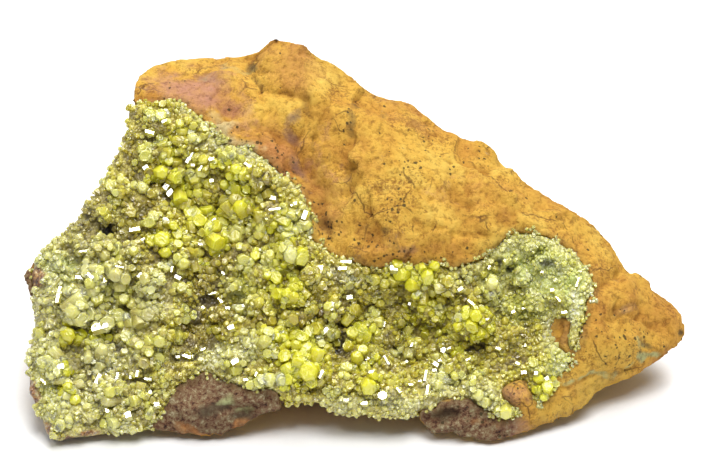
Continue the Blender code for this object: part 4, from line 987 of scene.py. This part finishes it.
# Across, up, length and width of the bright face in millimetres, and its turn in degrees.
BRIGHT_FACES = [
    (-31.6, 19.2, 0.9, 0.7, 30), (-29.1, 17.5, 1.6, 0.6, 63), (-34, 17.3, 1.6, 0.5, -15),
    (-29.6, 15.7, 1.4, 0.4, -30), (-31.2, 14.3, 1.0, 0.4, 25), (-27.4, 13, 1.9, 0.7, 60),
    (-25.4, 11.5, 1.5, 0.4, 60), (-26.8, 11.8, 0.6, 0.4, 0), (-23.7, 12.8, 0.9, 0.6, 10),
    (-17.8, 11.9, 1.7, 0.5, -35), (-34.7, 11.4, 0.9, 0.7, 30), (-31, 8.6, 2.5, 0.9, 55),
    (-30.6, 7.2, 1.3, 1.0, 45), (-23.7, 9.2, 0.7, 0.5, 0), (-25.4, 7.2, 1.1, 0.7, 20),
    (-18.7, 9.1, 0.9, 0.4, 30), (-18, 10.3, 0.6, 0.5, 0), (-15.7, 8.3, 0.7, 0.4, -20),
    (-13.8, 6.4, 1.7, 0.6, -15), (-13.2, 4.5, 2, 0.35, 8), (-10, 5.3, 1.2, 0.4, 30),
    (-8.2, 3.5, 1.5, 0.7, 70), (-31.3, 2.5, 1.0, 1.0, 0), (-36.5, 1.1, 1.8, 0.7, 10),
    (-23.3, 2.7, 0.8, 0.4, 40), (-28.3, 0.8, 1.0, 0.3, 0), (-25.5, -1.3, 0.7, 0.5, 20),
    (-45.5, -6.9, 1.8, 0.6, -5), (-43.9, -6.6, 1.3, 0.5, -45), (-41.7, -7.1, 1.4, 0.4, -60),
    (-38.7, -6.7, 1.0, 0.6, 75), (-35.7, -6.5, 0.9, 0.5, 50), (-30.3, -5.5, 1.0, 0.4, 80),
    (-29.3, -6.9, 1.1, 0.7, -25), (-49.3, -10.3, 1.6, 0.7, 80), (-49, -8.8, 0.9, 0.5, 70),
    (-42.3, -15, 2.8, 1.1, 15), (-35.2, -0.6, 0.8, 0.4, 30), (-45, -2.5, 1.2, 0.3, 5),
    (-39, -5.1, 1.4, 0.3, -10), (-48.8, -21.7, 1.1, 0.7, 10), (-42.7, -24, 2.2, 0.6, 65),
    (-41.3, -23.5, 1.1, 0.4, 80), (-39.4, -23.3, 1.2, 0.5, 80), (-37.1, -23.2, 1.2, 0.4, 75),
    (-36.1, -22.9, 1.1, 0.35, 85), (-34.3, -23.8, 1.2, 0.4, -5), (-34.2, -26.2, 1.3, 0.4, 35),
    (-41.2, -28.6, 1.6, 0.5, -70), (-40.5, -27.8, 0.9, 0.5, 60), (-42.5, -25.3, 0.9, 0.3, -60),
    (-37.6, -29.7, 1.0, 0.9, 20), (-32.8, -28, 0.8, 0.6, 0), (-29.3, -20.1, 0.6, 0.4, 0),
    (-27.3, -20, 1.2, 0.5, -10), (-25.3, -18.9, 1.2, 0.4, 20), (-51.7, -24.2, 1.2, 0.3, -40),
    (-22.7, -3.1, 1.2, 0.8, 80), (-15.8, -2.3, 0.6, 0.5, 0), (-1.3, -4.3, 1.8, 0.6, 0),
    (-5.7, -5.3, 1.1, 0.8, 0), (-1.9, -5.4, 1.5, 0.6, 0), (-21.8, -6.1, 0.9, 0.4, -60),
    (-23.5, -9.5, 1.4, 0.3, 10), (-18.2, -11.6, 0.8, 0.5, 0), (-25.2, -12, 0.7, 0.5, 45),
    (-21, -12, 0.8, 0.5, 0), (-22.2, -10.7, 1.2, 0.4, -50), (-3.7, -11.7, 1.4, 0.6, 80),
    (-0.7, -10.2, 1.0, 0.6, 10), (-8.3, -4.6, 1.0, 0.3, 60), (-20.5, -15.2, 1.1, 0.7, 20),
    (-4.8, -15.8, 1.2, 0.7, 50), (-17.7, -18, 1.8, 0.4, 70), (-25.5, -19, 1.1, 0.4, 20),
    (-27.8, -20, 1.5, 0.5, -20), (-19.8, -20.9, 1.3, 0.9, 30), (1.8, -19.2, 0.9, 0.7, -30),
    (4.8, -26.6, 1.5, 1.5, 0), (-16.3, -23, 0.8, 0.4, 70), (-18, -23.9, 0.8, 0.4, 0),
    (4.6, -14.7, 1.3, 1.3, 0), (7.5, -18.6, 1.0, 0.4, 65), (5.4, -20.6, 1.7, 0.4, -60),
    (7.4, -25.6, 1.1, 0.4, -50), (-10.3, -22.7, 0.9, 0.4, 20), (-5.5, -23, 1.4, 0.5, 60),
    (1.7, -27.8, 1.1, 0.5, 0), (2.2, -20.4, 0.6, 0.5, 30), (2.9, -22.6, 0.9, 0.6, 10),
    (-1.3, -27.3, 0.8, 0.4, 0), (6.7, -5.3, 1.3, 0.8, 0), (9.3, -11.1, 0.8, 0.4, 70),
    (14.9, -19, 0.9, 0.9, 0), (15.8, -18.7, 0.6, 0.4, 20), (13.6, -21.3, 1.0, 0.6, -30),
    (14.3, -20.7, 0.5, 0.4, 30), (13.4, -22.3, 0.7, 0.4, 0), (11.9, -23.2, 1.9, 0.5, 80),
    (12.2, -25.7, 1.9, 0.5, 80), (11, -24.1, 0.6, 0.4, 0), (9.5, -24.7, 0.8, 0.4, 0),
    (9.6, -18.1, 0.7, 0.4, 60), (17.7, -8.8, 0.9, 0.6, 30), (19.5, -11.1, 1.5, 0.4, -40),
    (23.8, -8.7, 0.9, 0.6, 20), (22.5, -5.2, 0.6, 0.3, 60), (19.3, -17.9, 0.7, 0.3, 0),
    (24, -18.7, 0.9, 0.4, -20), (19, -20.5, 0.8, 0.25, 30), (22.2, -13.8, 0.5, 0.4, 0),
    (8.6, -21, 0.8, 0.4, 30), (26.5, -12.6, 0.7, 0.5, 30), (28.2, -12, 0.6, 0.3, 20), (33, -9, 0.6, 0.5, 0),
    (34, -10.5, 1.2, 0.3, -50), (35, -12.7, 0.9, 0.6, 10), (37.2, -7.7, 1.6, 0.3, 72),
    (31.3, -6, 0.5, 0.4, 0), (27.2, -21.2, 0.8, 0.4, -30), (28.3, -22.7, 0.9, 0.6, 0),
    (32, -23.8, 0.9, 0.6, 40), (30.3, -22.8, 0.6, 0.5, 0), (28.5, -18.2, 0.5, 0.4, 60),
]

print("bright faces by hand:", len(BRIGHT_FACES))

# %% How a bright crystal stands
# How far a bright face stands out of the druse, in millimetres.
BRIGHT_LIFT = 0.8


def mirroring(listed, surface, chance):
    """Crystals that lie or stand so that one face mirrors the small lamp to the eye."""
    crystals = []
    for across, up, length, width, turn in listed:
        place, normal = met_by_eye(surface, across, up)
        if place is None:
            continue
        place = place + TO_EYE * (BRIGHT_LIFT * MM)
        mirror = ((EYE - place).normalized() + (GLINT_LAMP - place).normalized()).normalized()
        angle = math.radians(turn)
        lying = Vector((1, 0, 0)) * math.cos(angle) + VIEW_UP * math.sin(angle)
        lying = (lying - TO_EYE * (lying.dot(mirror) / TO_EYE.dot(mirror))).normalized()
        if length == width:
            crystals.append({
                "place": place - mirror * (0.9 * width * MM), "axis": mirror, "side": lying,
                "width": width * MM, "length": 1.2 * width * MM, **COLOUR_SHARES["p"],
            })
        else:
            across_flats = width * math.sqrt(3)
            crystals.append({
                "place": place - lying * (0.5 * length * MM) - mirror * (0.4 * across_flats * MM),
                "axis": lying, "side": mirror, "width": across_flats * MM, "length": length * MM,
                **COLOUR_SHARES[chance.choice("pplo")],
            })
    return crystals


# %% Grow every crystal
druse_surface = tree_of(druse)
large = place_crystals("large_crystals", crowded(LARGE_CRYSTALS, druse_surface, random.Random(11)),
                       worn_forms, 1, crystal_finish)
bright = place_crystals("bright_crystals", mirroring(BRIGHT_FACES, druse_surface, random.Random(12)),
                        clean_forms, 4, fresh_finish)
medium = grown_on("medium_crystals", druse.data, forms=worn_forms, spacing=1.3 * MM, density=0.6e6, seed=2,
                  smallest_width=0.9 * MM, largest_width=2.7 * MM, stubbiness=1.1, lean=0.8,
                  finish=crystal_finish)
small = grown_on("small_crystals", druse.data, forms=plain_forms, spacing=0.5 * MM, density=1.2e6, seed=3,
                 smallest_width=0.55 * MM, largest_width=1.3 * MM, stubbiness=1.5, lean=1.1,
                 finish=crystal_finish)
fringe = grown_on("fringe_crystals", rock.data, forms=plain_forms, spacing=0.4 * MM, density=6e6, seed=5,
                  smallest_width=0.5 * MM, largest_width=1.4 * MM, stubbiness=1.3, lean=1.2,
                  finish=crystal_finish)

# %% [markdown]
# ## The druse's finish
# The carpet under the crystals is the same mineral, but fine, dirty and deep: olive and brown, paler where
# the crust thins out and brown where it snapped off. Its sunken places are painted darker and browner, and
# its cavities nearly black, as painted shade. Its grains could be real crystals, but cell-shaped noise with
# a bump does for what only shows in the gaps.

# %% Druse material


def druse_material():
    """Fine, dull druse with brown rock showing at its broken edge."""
    material, tree, place = new_material("fine druse")
    grains = add(tree, "ShaderNodeTexVoronoi", {"Vector": place, "Scale": scale_for(0.55)}, feature="F1")
    tint = add(tree, "ShaderNodeSeparateColor", {"Color": grains.outputs["Color"]})
    olive = add(tree, "ShaderNodeValToRGB", {"Fac": tint.outputs["Red"]},
                stops=[(0, "#968634"), (0.5, "#B8AA44"), (0.85, "#D2C65A"), (1, "#E6E08C")])
    shade_and_smoke_ramp = add(tree, "ShaderNodeValToRGB", {"Fac": tint.outputs["Red"]},
                stops=[(0, "#5C4E2A"), (0.6, "#8A7A42"), (1, "#B0A25E")])
    # The brownish tone is partly the druse's own colour and partly painted shade in its sunken places.
    body = mixed(tree, attribute(tree, "smoke_and_shade"), olive, shade_and_smoke_ramp)
    body = mixed(tree, attribute(tree, "minty"), body, linear("#BECB6C"))
    sugar = add(tree, "ShaderNodeTexNoise", {"Vector": place, "Scale": scale_for(0.5), "Detail": 4.0,
                                             "Roughness": 0.7})
    sugary = add(tree, "ShaderNodeValToRGB", {"Fac": sugar},
                 stops=[(0.34, "#857A44"), (0.43, "#B4B06C"), (0.52, "#D6D69A"), (0.66, "#FAFCEC")])
    body = mixed(tree, attribute(tree, "pale"), body, sugary)
    # Painted shade: the cavities are coloured nearly black.
    body = mixed(tree, attribute(tree, "cavity"), body, linear("#2E271A"))
    dirt = add(tree, "ShaderNodeTexNoise", {"Vector": place, "Scale": scale_for(3.5), "Detail": 4.0})
    darkened = add(tree, "ShaderNodeMapRange", {"Value": dirt, "From Min": 0.55, "From Max": 0.7,
                                             "To Max": 0.6})
    body = mixed(tree, darkened, body, linear("#4A3A24"), "MULTIPLY")
    edge = add(tree, "ShaderNodeTexNoise", {"Vector": place, "Scale": scale_for(1.2), "Detail": 5.0,
                                            "Roughness": 0.7})
    snapped = add(tree, "ShaderNodeValToRGB", {"Fac": edge},
                  stops=[(0.36, "#3A2A1C"), (0.46, "#7A4E2E"), (0.54, "#A87C44"), (0.64, "#BDB088")])
    body = mixed(tree, attribute(tree, "broken"), body, snapped)
    bump = add(tree, "ShaderNodeBump", {"Height": grains.outputs["Distance"], "Distance": 0.45 * MM,
                                        "Strength": 1.0}, invert=True)
    return surfaced(material, body, bump, {
        "Roughness": 0.35, "IOR": 1.7, "Subsurface Weight": 0.6,
        "Subsurface Radius": GLOW_COLOURS, "Subsurface Scale": BODY_GLOW * MM,
    })


druse.data.materials.append(druse_material())
print("druse:", len(druse.active_material.node_tree.nodes), "nodes")

# %% [markdown]
# ## The rock's finish
# Limonite is earthy and matt. Its colour runs from golden ochre to rusty orange in soft patches, with
# black manganese specks and hairline cracks. It could be painted, but its grain here is noise at
# several sizes, from 14 mm to half a millimetre, so it covers the unseen sides as well.

# %% Rock material


def rock_material():
    """Earthy, matt limonite with stains, specks and cracks, and some painted shade in its pits and dents."""
    material, tree, place = new_material("earthy limonite")
    broad = add(tree, "ShaderNodeTexNoise", {"Vector": place, "Scale": scale_for(14), "Detail": 6.0,
                                             "Roughness": 0.65})
    ochre = add(tree, "ShaderNodeValToRGB", {"Fac": broad},
                stops=[(0.34, "#C68C3C"), (0.44, "#DAA644"), (0.54, "#E4B64C"), (0.66, "#ECC85E")])
    grain = add(tree, "ShaderNodeTexNoise", {"Vector": place, "Scale": scale_for(1.1), "Detail": 8.0,
                                             "Roughness": 0.75})
    grained = add(tree, "ShaderNodeValToRGB", {"Fac": grain},
                  stops=[(0.36, "#6E4A28"), (0.44, "#C8B294"), (0.5, "#F2ECE0"), (0.66, "#FFFFFF")])
    body = mixed(tree, 0.6, ochre, grained, "MULTIPLY")

    # Rusty crumbs, crowded in some places.
    crumb = add(tree, "ShaderNodeTexNoise", {"Vector": place, "Scale": scale_for(0.45), "Detail": 3.0,
                                             "Roughness": 0.6})
    crowding = add(tree, "ShaderNodeTexNoise", {"Vector": place, "Scale": scale_for(6), "Detail": 3.0})
    both = add(tree, "ShaderNodeMath", {0: crowding, 1: 0.7, 2: crumb}, operation="MULTIPLY_ADD")
    rusty = add(tree, "ShaderNodeMapRange", {"Value": both, "From Min": 0.94, "From Max": 1.05,
                                             "To Max": 0.65})
    body = mixed(tree, rusty, body, linear("#865626"))

    # Hairline cracks, here and there.
    bend = add(tree, "ShaderNodeTexNoise", {"Vector": place, "Scale": scale_for(3)})
    bent = add(tree, "ShaderNodeVectorMath", {0: bend.outputs["Color"], "Scale": 2.2 * MM},
               operation="SCALE")
    bent = add(tree, "ShaderNodeVectorMath", {0: place, 1: bent}, operation="ADD")
    seams = add(tree, "ShaderNodeTexVoronoi", {"Vector": bent, "Scale": scale_for(9)},
                feature="DISTANCE_TO_EDGE")
    thin = add(tree, "ShaderNodeMapRange", {"Value": seams, "From Min": 0.016, "From Max": 0.006})
    open_here = add(tree, "ShaderNodeMapRange", {"Value": crowding, "From Min": 0.5, "From Max": 0.56,
                                                 "To Max": 0.7})
    crack = add(tree, "ShaderNodeMath", {0: thin, 1: open_here}, operation="MULTIPLY")
    body = mixed(tree, crack, body, linear("#5E3E1C"))

    # The brown feet vary from maroon to grey-green, grain by grain.
    crumbs = add(tree, "ShaderNodeTexNoise", {"Vector": place, "Scale": scale_for(0.9), "Detail": 7.0,
                                              "Roughness": 0.8})
    crumbled = add(tree, "ShaderNodeValToRGB", {"Fac": crumbs},
                   stops=[(0.38, "#241C17"), (0.45, "#6C4632"), (0.5, "#84664A"), (0.57, "#8E7E5C"),
                          (0.66, "#C8BC9A")])
    footing = add(tree, "ShaderNodeMapRange", {"Value": attribute(tree, "brown"), "From Min": 0.1,
                                               "From Max": 0.45})
    body = mixed(tree, footing, body, crumbled)

    # Each stain keeps to its patch, but its edge is broken up by the grain.
    edge = add(tree, "ShaderNodeTexNoise", {"Vector": place, "Scale": scale_for(3.0), "Detail": 7.0,
                                            "Roughness": 0.7})
    for name, colour, strength in (
        ("tan", "#CC944C", 0.85), ("orange", "#C88A50", 0.8), ("pink", "#C6907A", 0.85),
        # The blackish patches are partly real stains and partly painted shade in pits and dents.
        ("beige", "#DCCB96", 0.85), ("purple", "#9C7868", 0.85), ("dark_stain_and_pit_shade", "#4E4230", 0.85),
        # The band beside the crust is partly its broken bits and partly painted shade under the crust's
        # edge.
        ("near_crust", "#80683E", 0.7), ("green", "#BCC48C", 0.85),
    ):
        reach = add(tree, "ShaderNodeMath", {0: edge, 1: 1.6, 2: -0.8}, operation="MULTIPLY_ADD")
        broken = add(tree, "ShaderNodeMath", {0: reach, 1: attribute(tree, name)}, operation="ADD")
        amount = add(tree, "ShaderNodeMapRange", {"Value": broken, "From Min": 0.25, "From Max": 0.95,
                                                  "To Max": strength})
        tinted = mixed(tree, 0.5, linear(colour), grained, "MULTIPLY")
        body = mixed(tree, amount, body, tinted)

    # Black manganese specks, few in most places and crowded in some.
    shaken = add(tree, "ShaderNodeVectorMath", {0: crumb.outputs["Color"], "Scale": 0.5 * MM},
                 operation="SCALE")
    shaken = add(tree, "ShaderNodeVectorMath", {0: place, 1: shaken}, operation="ADD")
    specks = add(tree, "ShaderNodeTexVoronoi", {"Vector": shaken, "Scale": scale_for(0.85)}, feature="F1")
    drawn = add(tree, "ShaderNodeSeparateColor", {"Color": specks.outputs["Color"]})
    crowd = add(tree, "ShaderNodeMath", {0: attribute(tree, "specked"), 1: -0.85, 2: 0.985},
                operation="MULTIPLY_ADD")
    chosen = add(tree, "ShaderNodeMath", {0: drawn.outputs["Red"], 1: crowd}, operation="GREATER_THAN")
    reach = add(tree, "ShaderNodeMath", {0: drawn.outputs["Green"], 1: 0.24, 2: 0.14},
                operation="MULTIPLY_ADD")
    within = add(tree, "ShaderNodeMath", {0: specks.outputs["Distance"], 1: reach}, operation="LESS_THAN")
    spot = add(tree, "ShaderNodeMath", {0: chosen, 1: within}, operation="MULTIPLY")
    spot = add(tree, "ShaderNodeMath", {0: spot, 1: 0.85}, operation="MULTIPLY")
    body = mixed(tree, spot, body, linear("#40371E"))

    # The hollows are darker and browner, the deeper they are carved.
    darkened = add(tree, "ShaderNodeMapRange", {"Value": attribute(tree, "hollow"), "From Min": 0.2,
                                             "From Max": 0.9, "To Max": 0.4})
    body = mixed(tree, darkened, body, linear("#A8743C"), "MULTIPLY")
    bump = add(tree, "ShaderNodeBump", {"Height": grain, "Distance": 0.9 * MM, "Strength": 1.0})
    return surfaced(material, body, bump, {"Roughness": 0.88, "Specular IOR Level": 0.3})


rock.data.materials.append(rock_material())
print("rock:", len(rock.active_material.node_tree.nodes), "nodes")

# %% [markdown]
# ## Light, floor and camera
# The specimen stands on white, in soft light from all round: a broad softbox above the front, another
# above the back, and a small lamp that the bright crystal faces mirror. A sky texture could light it
# too, but plain lamps are easier to aim. The shadow is darkest under the arch.

# %% Floor and lights


def paper_material():
    """Matt white paper with faint fibres."""
    material, tree, place = new_material("white paper")
    fibres = add(tree, "ShaderNodeTexNoise", {"Vector": place, "Scale": scale_for(0.8), "Detail": 2.0})
    white = add(tree, "ShaderNodeValToRGB", {"Fac": fibres}, stops=[(0, "#E6E6E6"), (1, "#ECECEC")])
    return surfaced(material, white, None, {"Roughness": 0.9})


bpy.ops.mesh.primitive_plane_add(size=3)
floor = bpy.context.object
floor.name = "floor"
floor.location.z = -0.05 * MM
floor.data.materials.append(paper_material())


STONE_MIDDLE = Vector((0, 0, 0.02))


def softbox(name, place, size, power):
    """A square area light that faces the stone."""
    light = bpy.data.lights.new(name, "AREA")
    light.size = size
    light.energy = power
    made = bpy.data.objects.new(name, light)
    made.location = place
    made.rotation_euler = (STONE_MIDDLE - Vector(place)).to_track_quat("-Z", "Y").to_euler()
    bpy.context.scene.collection.objects.link(made)


# Place and size in metres, power in watts.
softbox("front", (0.1, -0.2, 0.8), 0.5, 6.8)
softbox("top", (0.05, 0.32, 0.7), 0.4, 4.9)
softbox("glint", GLINT_LAMP, 0.14, 1.1)

SOFT_LIGHT = 0.24
world = bpy.data.worlds.new("studio")
world.use_nodes = True
world.node_tree.nodes["Background"].inputs["Color"].default_value = (1, 1, 1, 1)
world.node_tree.nodes["Background"].inputs["Strength"].default_value = SOFT_LIGHT
bpy.context.scene.world = world
bpy.context.scene.view_settings.view_transform = "Standard"
print("lights:", ", ".join(light.name for light in bpy.data.lights))

# %% Camera
# Sensor and width of the view in millimetres.
SENSOR = 36
VIEW_WIDTH = 118
camera = bpy.data.cameras.new("camera")
camera.sensor_width = SENSOR
camera.lens = SENSOR * EYE_DISTANCE / (VIEW_WIDTH * MM)
viewer = bpy.data.objects.new("viewer", camera)
viewer.location = EYE
viewer.rotation_euler = (-TO_EYE).to_track_quat("-Z", "Y").to_euler()
bpy.context.scene.collection.objects.link(viewer)
bpy.context.scene.camera = viewer
print("lens:", round(camera.lens, 1), "mm")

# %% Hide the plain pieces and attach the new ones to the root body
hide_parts("limonite_matrix")
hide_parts("pyromorphite_crust")
for piece in (rock, druse, large, bright, medium, small, fringe):
    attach(piece, "root")
